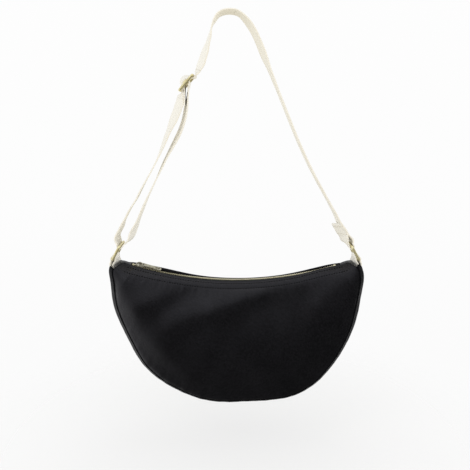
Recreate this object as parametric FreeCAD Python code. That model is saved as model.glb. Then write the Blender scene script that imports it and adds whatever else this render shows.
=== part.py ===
# Half moon shoulder bag, hanging by its strap.
#
# Millimetres, +Z up, +X to the right as seen from the front, front panel towards -Y.
# The origin is the point of the strap's inner face that rests on a hook or a shoulder.
import FreeCAD, Part
import math
import os

Vec = FreeCAD.Vector
ACROSS = Vec(0, 1, 0)

# Outline of the body, seen from the front
HANG_DROP = 362.0               # rest point of the strap down to the lowest point of the zip
MOUTH_INSET = 4.05              # ends of the mouth, inward of the gusset's ends
MOUTH_SAG = 27.5                # dip of the mouth between its corners
BODY_HALF_WIDTH = 172.0         # seam outline at its widest
WIDEST_BELOW_MOUTH = 10.0       # lowest point of the zip down to the widest level
BODY_DROP = 169.0               # widest level down to the bottom seam
CORNER_RISE = 31.0              # widest level up to the ends of the gusset
SHOULDER_HEIGHT = 114.0         # how high the outline would reach above the widest level if it went on
OUTLINE_POWER = 2.15            # 2 would be an ellipse, more is squarer
LEFT_SLACK = -8.0               # the filled bag hangs unevenly: seam moved in at the left,
LEFT_SLACK_PLACE_SHARE = 0.175  # at this share of the outline,
LEFT_SLACK_SPAN_SHARE = 0.075   # fading out over this one
BOTTOM_SLACK = 3.5              # and out at the bottom
BOTTOM_SLACK_PLACE_SHARE = 0.44
BOTTOM_SLACK_SPAN_SHARE = 0.07
RIGHT_SLACK = 10.5              # and at the lower right
RIGHT_SLACK_PLACE_SHARE = 0.655
RIGHT_SLACK_SPAN_SHARE = 0.09

# Depth of the body, front to back
MOUTH_HALF_GAP = 8.0            # half the gap between the folded edges beside the zip
BOTTOM_HALF_DEPTH = 26.0        # half the gusset seam's depth at the bottom
END_MARGIN = 2.0                # gusset's end past each edge of the tab
BELLY = 17.0                    # bulge of a panel past the straight line from mouth to seam
GUSSET_CROWN = 8.0              # bulge of the gusset past its seams
GUSSET_END_CROWN = 5.0          # the same at the tabs
FULLNESS_POWER = 4              # how soon the depth falls off towards the ends
CROWN_POWER = 6

# Cloth
CANVAS = 1.6
LINING = 0.8
LAYER_GAP = 0.2                 # air between sewn layers
SEAM_GAP = 0.6                  # gusset's edge to the panel beside it
LINING_DROP = 5.0               # top of the lining below the mouth

# Zip
ZIP_TAPE = 0.6
ZIP_FLANGE = 9.0                # tape sewn flat behind a panel's top edge
ZIP_TAPE_MARGIN = 5.0           # tape's ends to the mouth's ends
TAPE_BITE_SHARE = 1.2           # reach of the flat of the tape into its sewn part, in thicknesses
CHAIN_MARGIN = 19.0             # ends of the chain to the tape's ends
TOOTH_PITCH = 2.8
TOOTH_WIDTH = 1.2
TOOTH_HEIGHT = 2.3
TOOTH_JAW = 2.9                 # middle of the chain to the back of a tooth
TOOTH_TIP = 0.75                # reach of a tooth past the middle of the chain
TOOTH_GRIP = 1.5                # middle of the chain to the root of the jaw
TAPE_ROOM = 0.1                 # air between tape and teeth
STOP_LENGTH = 3.6
STOP_HEIGHT = 3.0
STOP_GAP = 0.4                  # slider's nose to the top stops, last teeth to the bottom stop
END_TAB_OVERLAP = 8.5           # cloth over the ends of the tapes
END_TAB_REACH = 4.0             # and past them

# Zip slider and pull
SLIDER_LENGTH = 12.4
SLIDER_NOSE_WIDTH = 9.8
SLIDER_TAIL_WIDTH = 8.2
SLIDER_PLATE = 1.3
SLIDER_ROOM = 0.35              # air round the teeth
SLIDER_TAPE_ROOM = 0.4          # air above and below the tape
SLIDER_PARK = 1.5               # middle of the closed slider to the end of the chain
SLIDER_POST_LENGTH = 2.0
SLIDER_POST_WIDTH = 2.2
BRIDGE_LENGTH = 9.6
BRIDGE_WIDTH = 2.2
BRIDGE_HEIGHT = 4.6
BRIDGE_THICK = 1.2
PULL_LENGTH = 31.0
PULL_WIDTH = 7.0
PULL_THICK = 1.5
PULL_EYE_LENGTH = 5.9
PULL_EYE_WIDTH = 3.8
PULL_HOLE_LENGTH = 7.0
PULL_HOLE_WIDTH = 2.8
PULL_HOLE_MARGIN = 1.9          # metal left past the hole
PULL_ROOM = 0.5                 # air under the pull
PULL_ROLL_DEG = 12.0            # the loose pull leans to the front

# Webbing
WEBBING_WIDTH = 30.0
WEBBING = 1.8

# Rings and adjuster, bent from the same brass wire
WIRE_RADIUS = 1.9
WIRE_CORNER = 2.3
WIRE_SIDE_ROOM = 0.5            # webbing's edge to the wire beside it
WEB_ROOM = 0.3                  # air between webbing and the wire that it goes round
RING_PIVOT_OUT = 4.45           # lower bar outward of the gusset's end
RING_PIVOT_ABOVE_CORNER = 13.5  # lower bar above the gusset's end
RING_HEIGHT = 20.5              # lower bar to upper bar
RING_LEAN_DEG = 29.0
ADJUSTER_DROP_SHARE = 0.2875    # middle bar, down the left leg from the hook to the ring
ADJUSTER_IN = 4.8               # and inward of the straight leg
ADJUSTER_PITCH = 12.6           # middle bar to each end bar
ADJUSTER_TILT_DEG = 19.4        # leans more than the leg
ADJUSTER_EYE_RADIUS = 3.1
ADJUSTER_EYE_LENGTH = 5.0
ADJUSTER_EYE_ROOM = 0.15
ADJUSTER_SIDE_ROOM = 1.6        # webbing's edge to the frame's sides, past the bar's curled ends

# Shape of the strap where it lies over the hook, and its sewn ends
APEX_RIGHT_X = -5.0
APEX_RIGHT_RADIUS = 25.0
APEX_LEFT_X = -10.5
APEX_LEFT_RADIUS = 22.0
APEX_EASE_RADIUS = 100.0        # slacker curve where the right leg begins
APEX_EASE_DEG = 40.0
APEX_EASE_RUN = 0.5
LEG_BOW = 8.5                   # sag of the right leg below its straight line
LEG_BOW_SHARE = 0.45            # up the leg from its ring
LEG_BOW_ROUND_SHARE = 0.063     # bow's radius times its sag, as a share of the leg's length squared
FOLD_LENGTH = 36.0              # right end, sewn back on itself
FOLD_OPEN = 16.0                # part of it that stands open round the ring
FOLD_BEND_RADIUS = 12.0
LOOP_BELLY = 5.5                # slack of the front layer above the left ring
LOOP_BELLY_RADIUS = 60.0
LOOP_BELLY_UP = 32.0            # up from the ring's upper bar
RETURN_BELLY_RADIUS = 25.0      # slack of the doubled run above the left ring
RETURN_BELLY_OUT = 18.1         # its centre, outward of the line from the ring to the adjuster
RETURN_BELLY_UP = 17.8          # and up that line from the ring's upper bar
RETURN_BOW_RADIUS = 70.0        # bend of the doubled run just below the adjuster
RETURN_BOW_OUT = 53.4           # its centre, outward of the same line
RETURN_BOW_DOWN = 59.5          # and down it from the adjuster's middle bar
TAIL_LENGTH = 29.0              # left end, sewn back below the adjuster

# Where the strap is divided for the joints that bend it
RIGHT_END_LENGTH = 130.0        # up the right leg from its ring
LEFT_LOOP_LENGTH = 60.0         # up both layers from the left ring

MEASURE_STEP = 1.0e-4
PANEL_COLUMNS = 33
PANEL_ROWS = 9
GUSSET_SECTIONS = 25

# Worked out from the above
CORNER_SHARE = (1 - (CORNER_RISE / SHOULDER_HEIGHT) ** OUTLINE_POWER) ** (1 / OUTLINE_POWER)
CORNER_X = BODY_HALF_WIDTH * CORNER_SHARE
MOUTH_HALF_SPAN = CORNER_X - MOUTH_INSET
ZIP_TAPE_HALF_LENGTH = MOUTH_HALF_SPAN - ZIP_TAPE_MARGIN
CHAIN_HALF_LENGTH = ZIP_TAPE_HALF_LENGTH - CHAIN_MARGIN
END_TAB_START = ZIP_TAPE_HALF_LENGTH - END_TAB_OVERLAP
END_TAB_END = ZIP_TAPE_HALF_LENGTH + END_TAB_REACH
SLIDER_REST = SLIDER_PARK - CHAIN_HALF_LENGTH
END_HALF_DEPTH = WEBBING_WIDTH / 2 + END_MARGIN
MOUTH_Z = -HANG_DROP
WIDEST_Z = MOUTH_Z - WIDEST_BELOW_MOUTH
ZIP_RADIUS = (MOUTH_HALF_SPAN ** 2 + MOUTH_SAG ** 2) / (2 * MOUTH_SAG)
ZIP_CENTRE = Vec(0, 0, MOUTH_Z + ZIP_RADIUS)
MOUTH_RADIUS = ZIP_RADIUS - ZIP_TAPE
RING_HALF_SPAN = WEBBING_WIDTH / 2 + WIRE_SIDE_ROOM + WIRE_RADIUS
ADJUSTER_HALF_SPAN = WEBBING_WIDTH / 2 + ADJUSTER_SIDE_ROOM + WIRE_RADIUS
WEB_TURN = WIRE_RADIUS + WEB_ROOM + WEBBING / 2
LAYER_PITCH = WEBBING + LAYER_GAP
SLIDER_BASE = TOOTH_HEIGHT / 2 + SLIDER_ROOM
SLIDER_TOP = SLIDER_BASE + SLIDER_PLATE


def outline_radius(angle):
    """Distance from the middle of the widest level to the seam outline."""
    rise = SHOULDER_HEIGHT if math.sin(angle) > 0 else BODY_DROP
    wide_term = abs(math.cos(angle) / BODY_HALF_WIDTH) ** OUTLINE_POWER
    tall_term = abs(math.sin(angle) / rise) ** OUTLINE_POWER
    return (wide_term + tall_term) ** (-1 / OUTLINE_POWER)


CORNER_ANGLE = math.atan2(CORNER_RISE, CORNER_X)
OUTLINE_START = math.pi - CORNER_ANGLE
OUTLINE_SWEEP = math.pi + 2 * CORNER_ANGLE


def slack(along):
    """How far the filled bag's weight moves the seam outline, inward or outward."""
    total = 0.0
    for reach, place_share, span_share in (
            (LEFT_SLACK, LEFT_SLACK_PLACE_SHARE, LEFT_SLACK_SPAN_SHARE),
            (BOTTOM_SLACK, BOTTOM_SLACK_PLACE_SHARE, BOTTOM_SLACK_SPAN_SHARE),
            (RIGHT_SLACK, RIGHT_SLACK_PLACE_SHARE, RIGHT_SLACK_SPAN_SHARE)):
        total += reach * math.exp(-((along - place_share) / span_share) ** 2)
    return total


def outline_point(along):
    """Seam outline from the left corner (0) under the bag to the right corner (1)."""
    angle = OUTLINE_START + along * OUTLINE_SWEEP
    radius = outline_radius(angle) + slack(along)
    return Vec(radius * math.cos(angle), 0, WIDEST_Z + radius * math.sin(angle))


def outline_heading(along):
    """Direction of the outline, left corner to right corner."""
    ahead = outline_point(along + MEASURE_STEP)
    behind = outline_point(along - MEASURE_STEP)
    return (ahead - behind).normalize()


def outline_outward(along):
    heading = outline_heading(along)
    return Vec(heading.z, 0, -heading.x)


def mouth_point(along):
    """Folded top edge of a panel, on the zip's arc."""
    angle = (2 * along - 1) * math.asin(MOUTH_HALF_SPAN / ZIP_RADIUS)
    return ZIP_CENTRE + Vec(math.sin(angle), 0, -math.cos(angle)) * MOUTH_RADIUS


def fullness_share(along):
    return 1 - (2 * along - 1) ** FULLNESS_POWER


def seam_half_depth(along):
    return END_HALF_DEPTH + (BOTTOM_HALF_DEPTH - END_HALF_DEPTH) * fullness_share(along)


def panel_point(along, down, inset):
    """Outer face of the front panel: mouth at down 0, gusset seam at down 1."""
    top = mouth_point(along)
    low = outline_point(along) - outline_outward(along) * inset
    place = top + (low - top) * down
    slope = MOUTH_HALF_GAP + (seam_half_depth(along) - MOUTH_HALF_GAP) * (1 - (1 - down) ** 2)
    bulge = BELLY * fullness_share(along) * 4 * down * (1 - down)
    return Vec(place.x, -slope - bulge, place.z)


def cloth_sheet(first, last, inset, reach_shares, start, thickness):
    """Sheet that follows the front panel's face, a set depth behind it.

    reach_shares(along) says where the sheet begins and ends between the mouth and the seam.
    """
    grid = []
    for column in range(PANEL_COLUMNS):
        along = first + (last - first) * column / (PANEL_COLUMNS - 1)
        top, low = reach_shares(along)
        downs = [top + (low - top) * row / (PANEL_ROWS - 1) for row in range(PANEL_ROWS)]
        grid.append([panel_point(along, down, inset) for down in downs])
    surface = Part.BSplineSurface()
    surface.interpolate(grid)
    face = surface.toShape()
    face.translate(ACROSS * start)
    return face.extrude(ACROSS * thickness)


def panel_length(along):
    return (outline_point(along) - mouth_point(along)).Length


def whole_shares(along):
    return 0.0, 1.0


def flange_shares(along):
    return 0.0, ZIP_FLANGE / (ZIP_FLANGE + panel_length(along))


def lining_shares(along):
    return LINING_DROP / (LINING_DROP + panel_length(along)), 1.0


def mirrored(shape):
    """The same piece on the back of the bag."""
    return shape.mirror(Vec(0, 0, 0), ACROSS)


def front_panel():
    return cloth_sheet(0.0, 1.0, 0, whole_shares, 0, CANVAS)


TAPE_START = CANVAS + LAYER_GAP
LINING_START = TAPE_START + ZIP_TAPE + LAYER_GAP
MOUTH_TAPE_EDGE = MOUTH_HALF_GAP - TAPE_START - ZIP_TAPE
TAPE_SPAN_SHARE = (1 - math.asin(ZIP_TAPE_HALF_LENGTH / ZIP_RADIUS)
                   / math.asin(MOUTH_HALF_SPAN / ZIP_RADIUS)) / 2


def front_lining():
    inset = CANVAS + LAYER_GAP + LINING + LAYER_GAP
    return cloth_sheet(TAPE_SPAN_SHARE, 1 - TAPE_SPAN_SHARE, inset, lining_shares, LINING_START, LINING)


def crown_height(along):
    share = 1 - (2 * along - 1) ** CROWN_POWER
    return GUSSET_END_CROWN + (GUSSET_CROWN - GUSSET_END_CROWN) * share


def band_surface(half_width, sink, first, last):
    """Crowned face along the seam outline, sink below the seam level."""
    grid = []
    for station in range(GUSSET_SECTIONS):
        along = first + (last - first) * station / (GUSSET_SECTIONS - 1)
        base = outline_point(along)
        outward = outline_outward(along)
        line = []
        for row in range(PANEL_ROWS):
            across_share = 2 * row / (PANEL_ROWS - 1) - 1
            lift = crown_height(along) * (1 - across_share ** 2) - sink
            line.append(base + outward * lift + ACROSS * (across_share * half_width(along)))
        grid.append(line)
    surface = Part.BSplineSurface()
    surface.interpolate(grid)
    return surface


def band(trim, sink, thickness, first, last):
    """Strip all along the seam outline, trim narrower than the panels on each side."""
    def half_width(along):
        return seam_half_depth(along) - trim

    outer = band_surface(half_width, sink, first, last)
    inner = band_surface(half_width, sink + thickness, first, last)
    faces = [outer.toShape(), inner.toShape()]
    for limit in (0, 1):
        faces.append(Part.makeRuledSurface(outer.uIso(limit).toShape(), inner.uIso(limit).toShape()))
        faces.append(Part.makeRuledSurface(outer.vIso(limit).toShape(), inner.vIso(limit).toShape()))
    shell = Part.makeShell(faces)
    shell.sewShape()
    strip = Part.makeSolid(Part.makeShell(shell.Faces))
    if strip.Volume < 0:
        strip.reverse()
    return strip


def gusset():
    return band(CANVAS + SEAM_GAP, 0, CANVAS, 0.0, 1.0)


def gusset_lining():
    trim = LINING_START + LINING + SEAM_GAP
    return band(trim, CANVAS + LAYER_GAP, LINING, TAPE_SPAN_SHARE, 1 - TAPE_SPAN_SHARE)


def along_zip(shape, place):
    """Turn a piece made at the lowest point of the zip to a place along it."""
    turn = math.degrees(math.asin(place / ZIP_RADIUS))
    return shape.copy().rotate(ZIP_CENTRE, ACROSS, -turn)


def zip_arc_point(radius, place):
    angle = math.asin(place / ZIP_RADIUS)
    return ZIP_CENTRE + Vec(math.sin(angle), 0, -math.cos(angle)) * radius


def zip_strip(lift_low, lift_high, first, last, front, back):
    """Strip on the zip's arc between two heights, two places along it and two depths."""
    middle = (first + last) / 2
    edges = []
    for lift, start, end in ((lift_low, first, last), (lift_high, last, first)):
        radius = ZIP_RADIUS - lift
        points = [zip_arc_point(radius, place) for place in (start, middle, end)]
        edges.append(Part.Arc(*points).toShape())
    for place in (first, last):
        edges.append(Part.makeLine(zip_arc_point(ZIP_RADIUS - lift_low, place),
                                   zip_arc_point(ZIP_RADIUS - lift_high, place)))
    face = Part.Face(Part.Wire(Part.__sortEdges__(edges)))
    face.translate(ACROSS * front)
    return face.extrude(ACROSS * (back - front))


def zip_tape_front():
    flange = cloth_sheet(TAPE_SPAN_SHARE, 1 - TAPE_SPAN_SHARE, 0, flange_shares, TAPE_START, ZIP_TAPE)
    strip = zip_strip(-ZIP_TAPE / 2, ZIP_TAPE / 2, -ZIP_TAPE_HALF_LENGTH, ZIP_TAPE_HALF_LENGTH,
                      -(MOUTH_TAPE_EDGE + ZIP_TAPE * TAPE_BITE_SHARE), -(TOOTH_GRIP + TAPE_ROOM))
    return flange.fuse(strip).removeSplitter()


def clamp_block(length, height, back, grip, tip):
    """Metal clamped on the front tape's edge, at the lowest point of the zip."""
    slot = ZIP_TAPE / 2 + TAPE_ROOM
    half = height / 2
    profile = ((-back, half), (tip, half), (tip, -half), (-back, -half),
               (-back, -slot), (-grip, -slot), (-grip, slot), (-back, slot))
    points = [Vec(-length / 2, y, MOUTH_Z + z) for y, z in profile]
    face = Part.Face(Part.makePolygon(points + points[:1]))
    return face.extrude(Vec(length, 0, 0))


def teeth(shift):
    """One row of teeth, shifted along the zip so that the two rows mesh."""
    tooth = clamp_block(TOOTH_WIDTH, TOOTH_HEIGHT, TOOTH_JAW, TOOTH_GRIP, TOOTH_TIP)
    count = int(2 * CHAIN_HALF_LENGTH / TOOTH_PITCH)
    first = -TOOTH_PITCH * (count - 1) / 2
    return [along_zip(tooth, first + shift + TOOTH_PITCH * number) for number in range(count)]


def zip_teeth_front():
    return Part.makeCompound(teeth(-TOOTH_PITCH / 4))


def zip_teeth_back():
    return mirrored(Part.makeCompound(teeth(TOOTH_PITCH / 4)))


def zip_top_stops():
    place = SLIDER_REST - SLIDER_LENGTH / 2 - STOP_GAP - STOP_LENGTH / 2
    stop = clamp_block(STOP_LENGTH, STOP_HEIGHT, TOOTH_JAW, TOOTH_GRIP, -TOOTH_TIP)
    front_stop = along_zip(stop, place)
    return Part.makeCompound([front_stop, mirrored(front_stop)])


def zip_bottom_stop():
    place = CHAIN_HALF_LENGTH + STOP_GAP + STOP_LENGTH / 2
    front_half = clamp_block(STOP_LENGTH, STOP_HEIGHT, TOOTH_JAW, TOOTH_GRIP, 0)
    return along_zip(front_half.fuse(mirrored(front_half)).removeSplitter(), place)


def zip_end_tab(side):
    """Cloth folded over the ends of both tapes, between the zip and a strap tab."""
    inside = ZIP_TAPE / 2 + LAYER_GAP
    outside = inside + LINING
    half_width = MOUTH_TAPE_EDGE - LAYER_GAP
    limits = sorted((side * END_TAB_START, side * END_TAB_END))
    cloth = zip_strip(-outside, outside, limits[0], limits[1], -half_width, half_width)
    pocket_end = ZIP_TAPE_HALF_LENGTH + LAYER_GAP
    limits = sorted((side * (2 * END_TAB_START - pocket_end), side * pocket_end))
    pocket = zip_strip(-inside, inside, limits[0], limits[1], -MOUTH_HALF_GAP, MOUTH_HALF_GAP)
    return cloth.cut(pocket)


def slider_plate(low, high):
    """Flat plate of the slider, wide at the nose and narrower at the tail."""
    nose, tail = SLIDER_NOSE_WIDTH / 2, SLIDER_TAIL_WIDTH / 2
    half = SLIDER_LENGTH / 2
    corner = SLIDER_PLATE
    outline = ((-half, nose - corner), (-half + corner, nose), (half - corner, tail), (half, tail - corner))
    points = [Vec(x, y, low) for x, y in outline]
    points += [Vec(x, -y, low) for x, y in reversed(outline)]
    face = Part.Face(Part.makePolygon(points + points[:1]))
    return face.extrude(Vec(0, 0, high - low))


def slider_body():
    """Two plates joined by the post at the nose, with lips that leave a slot for the tapes."""
    slot = ZIP_TAPE / 2 + SLIDER_TAPE_ROOM
    body = slider_plate(-SLIDER_TOP, SLIDER_TOP)
    room = TOOTH_JAW + SLIDER_ROOM
    hollow = Part.makeBox(2 * SLIDER_LENGTH, 2 * room, 2 * SLIDER_BASE,
                          Vec(-SLIDER_LENGTH, -room, -SLIDER_BASE))
    tape_slot = Part.makeBox(2 * SLIDER_LENGTH, 2 * SLIDER_NOSE_WIDTH, 2 * slot,
                             Vec(-SLIDER_LENGTH, -SLIDER_NOSE_WIDTH, -slot))
    post = Part.makeBox(SLIDER_POST_LENGTH, SLIDER_POST_WIDTH, 2 * SLIDER_TOP,
                        Vec(-SLIDER_LENGTH / 2, -SLIDER_POST_WIDTH / 2, -SLIDER_TOP))
    return body.cut(hollow).cut(tape_slot).fuse(post)


def slider_bridge():
    """Arch on the upper plate that holds the pull."""
    half = BRIDGE_LENGTH / 2
    crown = SLIDER_TOP + BRIDGE_HEIGHT

    def arch(reach, top):
        low = SLIDER_TOP - SLIDER_PLATE / 2
        spring = SLIDER_TOP + (top - SLIDER_TOP) / 2
        points = (Vec(-reach, 0, low), Vec(-reach, 0, spring), Vec(reach, 0, spring), Vec(reach, 0, low))
        edges = [Part.makeLine(points[0], points[1]),
                 Part.Arc(points[1], Vec(0, 0, top), points[2]).toShape(),
                 Part.makeLine(points[2], points[3]),
                 Part.makeLine(points[3], points[0])]
        face = Part.Face(Part.Wire(edges))
        face.translate(ACROSS * (-BRIDGE_WIDTH / 2))
        return face.extrude(ACROSS * BRIDGE_WIDTH)

    window = arch(half - BRIDGE_THICK, crown - BRIDGE_THICK)
    plate = slider_plate(SLIDER_BASE, SLIDER_TOP)
    return arch(half, crown).cut(window.cut(plate))


def zip_slider():
    slider = slider_body().fuse(slider_bridge()).removeSplitter()
    slider.translate(Vec(0, 0, MOUTH_Z))
    return along_zip(slider, SLIDER_REST)


PULL_PIVOT_HEIGHT = SLIDER_TOP + PULL_ROOM + PULL_THICK / 2 + \
    PULL_WIDTH / 2 * math.sin(math.radians(PULL_ROLL_DEG))


def slot_cutter(first, last, width, height):
    """Round-ended slot through a plate that lies in the plane of X and Y."""
    radius = width / 2
    low = Vec(0, 0, -height / 2)
    places = (first + radius, last - radius)
    ends = [Part.makeCylinder(radius, height, Vec(place, 0, 0) + low) for place in places]
    middle = Part.makeBox(last - first - width, width, height, Vec(first + radius, -radius, 0) + low)
    return ends[0].fuse(ends[1]).fuse(middle)


def zip_pull():
    """Flat tab with an eye round the bridge and a slot near its free end."""
    half = PULL_WIDTH / 2
    plate = Part.makeBox(PULL_LENGTH, PULL_WIDTH, PULL_THICK, Vec(0, -half, -PULL_THICK / 2))
    corners = [edge for edge in plate.Edges
               if edge.BoundBox.XMin > PULL_LENGTH / 2 and edge.BoundBox.ZLength > PULL_THICK / 2
               and edge.BoundBox.YLength < PULL_THICK / 2]
    plate = plate.makeFillet(PULL_HOLE_MARGIN, corners)
    pin = Part.makeCylinder(PULL_THICK / 2, PULL_WIDTH, Vec(0, -half, 0), ACROSS)
    eye_start = PULL_THICK / 2
    eye = Part.makeBox(PULL_EYE_LENGTH - eye_start, PULL_EYE_WIDTH, 2 * PULL_THICK,
                       Vec(eye_start, -PULL_EYE_WIDTH / 2, -PULL_THICK))
    hole_end = PULL_LENGTH - PULL_HOLE_MARGIN
    hole = slot_cutter(hole_end - PULL_HOLE_LENGTH, hole_end, PULL_HOLE_WIDTH, 2 * PULL_THICK)
    pull = plate.fuse(pin).cut(eye).cut(hole).removeSplitter()
    pull.rotate(Vec(0, 0, 0), Vec(1, 0, 0), PULL_ROLL_DEG)
    pull.translate(Vec(0, 0, MOUTH_Z + PULL_PIVOT_HEIGHT))
    return along_zip(pull, SLIDER_REST)


# Webbing routes: a chain of posts (x, z, signed radius), seen from the front.
# A positive radius turns left, a negative one turns right, and zero ends the chain.


def left_of(heading):
    return (-math.sin(heading), math.cos(heading))


def run_between(post, following):
    """Straight run that leaves one post and meets the next: its ends and heading."""
    across, up = following[0] - post[0], following[1] - post[1]
    slip = (following[2] - post[2]) / math.hypot(across, up)
    heading = math.atan2(up, across) - math.asin(slip)
    left = left_of(heading)
    start = (post[0] - post[2] * left[0], post[1] - post[2] * left[1])
    end = (following[0] - following[2] * left[0], following[1] - following[2] * left[1])
    return start, end, heading


def route_through(posts):
    """Runs and bends of webbing drawn round the posts, as (start length, end length, point function)."""
    runs = [run_between(post, following) for post, following in zip(posts, posts[1:])]
    pieces = []
    length = 0.0
    for number, (start, end, heading) in enumerate(runs):
        run_length = math.hypot(end[0] - start[0], end[1] - start[1])
        pieces.append(("run", length, length + run_length, start, heading, 0.0))
        length += run_length
        if number + 1 < len(runs):
            post = posts[number + 1]
            turn = (runs[number + 1][2] - heading) % (2 * math.pi)
            if post[2] < 0:
                turn -= 2 * math.pi
            bend_length = abs(post[2] * turn)
            pieces.append(("bend", length, length + bend_length, post, heading, turn))
            length += bend_length
    return pieces


def route_place(piece, at, lift):
    """Point of a route piece at a length, lifted to the left of the direction of travel."""
    kind, start, end, base, heading, turn = piece
    if kind == "run":
        left = left_of(heading)
        ahead = at - start
        return Vec(base[0] + ahead * math.cos(heading) + lift * left[0], 0,
                   base[1] + ahead * math.sin(heading) + lift * left[1])
    left = left_of(heading + turn * (at - start) / (end - start))
    return Vec(base[0] + (lift - base[2]) * left[0], 0, base[1] + (lift - base[2]) * left[1])


def route_edges(pieces, first, last, lift):
    """Edges of one face of the webbing between two lengths."""
    edges = []
    for piece in pieces:
        start, end = max(piece[1], first), min(piece[2], last)
        if end - start < MEASURE_STEP * WEBBING:
            continue
        ends = [route_place(piece, at, lift) for at in (start, (start + end) / 2, end)]
        if piece[0] == "run":
            edges.append(Part.makeLine(ends[0], ends[2]))
        else:
            edges.append(Part.Arc(*ends).toShape())
    return edges


def webbing(pieces, first, last):
    """Solid webbing along a stretch of a route."""
    left = route_edges(pieces, first, last, WEBBING / 2)
    right = route_edges(pieces, first, last, -WEBBING / 2)
    caps = []
    for side in (0, -1):
        ends = [edges[side].Vertexes[side].Point for edges in (left, right)]
        caps.append(Part.makeLine(*ends))
    face = Part.Face(Part.Wire(Part.__sortEdges__(left + right + caps)))
    face.translate(ACROSS * (-WEBBING_WIDTH / 2))
    return face.extrude(ACROSS * WEBBING_WIDTH)


def ahead_of(place, heading, distance, lift):
    """Post with no radius, a distance ahead of a place and lifted to the left."""
    left = left_of(heading)
    return (place[0] + distance * math.cos(heading) + lift * left[0],
            place[1] + distance * math.sin(heading) + lift * left[1])


def lean(degrees):
    """Unit direction that leans to +X from straight up."""
    return math.sin(math.radians(degrees)), math.cos(math.radians(degrees))


RING_PIVOT_X = CORNER_X + RING_PIVOT_OUT
RING_PIVOT_Z = WIDEST_Z + CORNER_RISE + RING_PIVOT_ABOVE_CORNER
RING_LEAN = lean(RING_LEAN_DEG)
RING_TOP_X = RING_PIVOT_X - RING_HEIGHT * RING_LEAN[0]
RING_TOP_Z = RING_PIVOT_Z + RING_HEIGHT * RING_LEAN[1]
LEG_TOP_X = APEX_LEFT_X - APEX_LEFT_RADIUS
LEG_RUN = LEG_TOP_X + RING_TOP_X
ADJUSTER_X = LEG_TOP_X - ADJUSTER_DROP_SHARE * LEG_RUN + ADJUSTER_IN
ADJUSTER_Z = ADJUSTER_DROP_SHARE * RING_TOP_Z
ADJUSTER_LEAN = lean(ADJUSTER_TILT_DEG + math.degrees(math.atan2(LEG_RUN, -RING_TOP_Z)))


def adjuster_bar_place(step):
    """Centre of an adjuster bar: -1 lower, 0 middle, 1 upper."""
    reach = step * ADJUSTER_PITCH
    return ADJUSTER_X + reach * ADJUSTER_LEAN[0], ADJUSTER_Z + reach * ADJUSTER_LEAN[1]


def apex_posts():
    """The three curves of the strap over the hook, right to left."""
    top = WEBBING / 2
    right = (APEX_RIGHT_X, top - APEX_RIGHT_RADIUS, APEX_RIGHT_RADIUS)
    left = (APEX_LEFT_X, top - APEX_LEFT_RADIUS, APEX_LEFT_RADIUS)
    reach = APEX_EASE_RADIUS - APEX_RIGHT_RADIUS + APEX_EASE_RUN
    slope = math.radians(APEX_EASE_DEG)
    ease = (right[0] - reach * math.cos(slope), right[1] - reach * math.sin(slope), APEX_EASE_RADIUS)
    return [ease, right, left]


def strap_posts():
    """The whole strap, from its end at the right ring to its end at the adjuster."""
    right_ring = (RING_TOP_X, RING_TOP_Z, WEB_TURN)
    left_ring = (-RING_TOP_X, RING_TOP_Z, WEB_TURN)
    over_hook = apex_posts()
    leg_start, leg_end, leg_heading = run_between(right_ring, over_hook[0])
    leg_length = math.hypot(leg_end[0] - leg_start[0], leg_end[1] - leg_start[1])
    bow_radius = LEG_BOW_ROUND_SHARE * leg_length ** 2 / LEG_BOW
    leg_bow = ahead_of(leg_start, leg_heading, LEG_BOW_SHARE * leg_length, LEG_BOW - bow_radius)
    leg_bow += (-bow_radius,)
    leg_start, _, leg_heading = run_between(right_ring, leg_bow)
    fold_end = ahead_of(leg_start, leg_heading, FOLD_LENGTH, LAYER_PITCH)
    fold_bend = ahead_of(leg_start, leg_heading, FOLD_OPEN, LAYER_PITCH + FOLD_BEND_RADIUS)
    weave = []
    turns = (-WEB_TURN, WEB_TURN + WEBBING + WEB_ROOM, -WEB_TURN)
    for step, turn in zip((1, 0, -1), turns):
        weave.append(adjuster_bar_place(step) + (turn,))
    _, loop_end, loop_heading = run_between(weave[-1], left_ring)
    loop_belly = ahead_of(loop_end, loop_heading, -LOOP_BELLY_UP, LOOP_BELLY_RADIUS - LOOP_BELLY)
    loop_belly += (LOOP_BELLY_RADIUS,)
    middle_bar = adjuster_bar_place(0)
    doubled_heading = math.atan2(middle_bar[1] - RING_TOP_Z, middle_bar[0] + RING_TOP_X)
    belly = ahead_of(left_ring, doubled_heading, RETURN_BELLY_UP, RETURN_BELLY_OUT) + (RETURN_BELLY_RADIUS,)
    bow = ahead_of(middle_bar, doubled_heading, -RETURN_BOW_DOWN, RETURN_BOW_OUT) + (RETURN_BOW_RADIUS,)
    sewn_loop = middle_bar + (-WEB_TURN,)
    _, loop_start, return_heading = run_between(bow, sewn_loop)
    tail_end = ahead_of(loop_start, return_heading, -TAIL_LENGTH, -LAYER_PITCH)
    return ([fold_end + (0,), fold_bend + (-FOLD_BEND_RADIUS,), right_ring, leg_bow] + over_hook + weave
            + [loop_belly, left_ring, belly, bow, sewn_loop, tail_end + (0,)])


STRAP_ROUTE = route_through(strap_posts())
STRAP_LENGTH = STRAP_ROUTE[-1][2]
STRAP_BENDS = [piece for piece in STRAP_ROUTE if piece[0] == "bend"]
RIGHT_RING_BEND = STRAP_BENDS[1]
LEFT_SHOULDER_BEND = STRAP_BENDS[5]
LEFT_RING_BEND = STRAP_BENDS[10]
STRAP_CUTS = (0.0,
              RIGHT_RING_BEND[2] + RIGHT_END_LENGTH,
              LEFT_SHOULDER_BEND[2],
              LEFT_RING_BEND[1] - LEFT_LOOP_LENGTH,
              LEFT_RING_BEND[2] + LEFT_LOOP_LENGTH,
              STRAP_LENGTH)
STRAP_NODES = ("strap_right_end", "strap_run", "strap_adjuster_run", "strap_left_loop", "strap_return")


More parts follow.
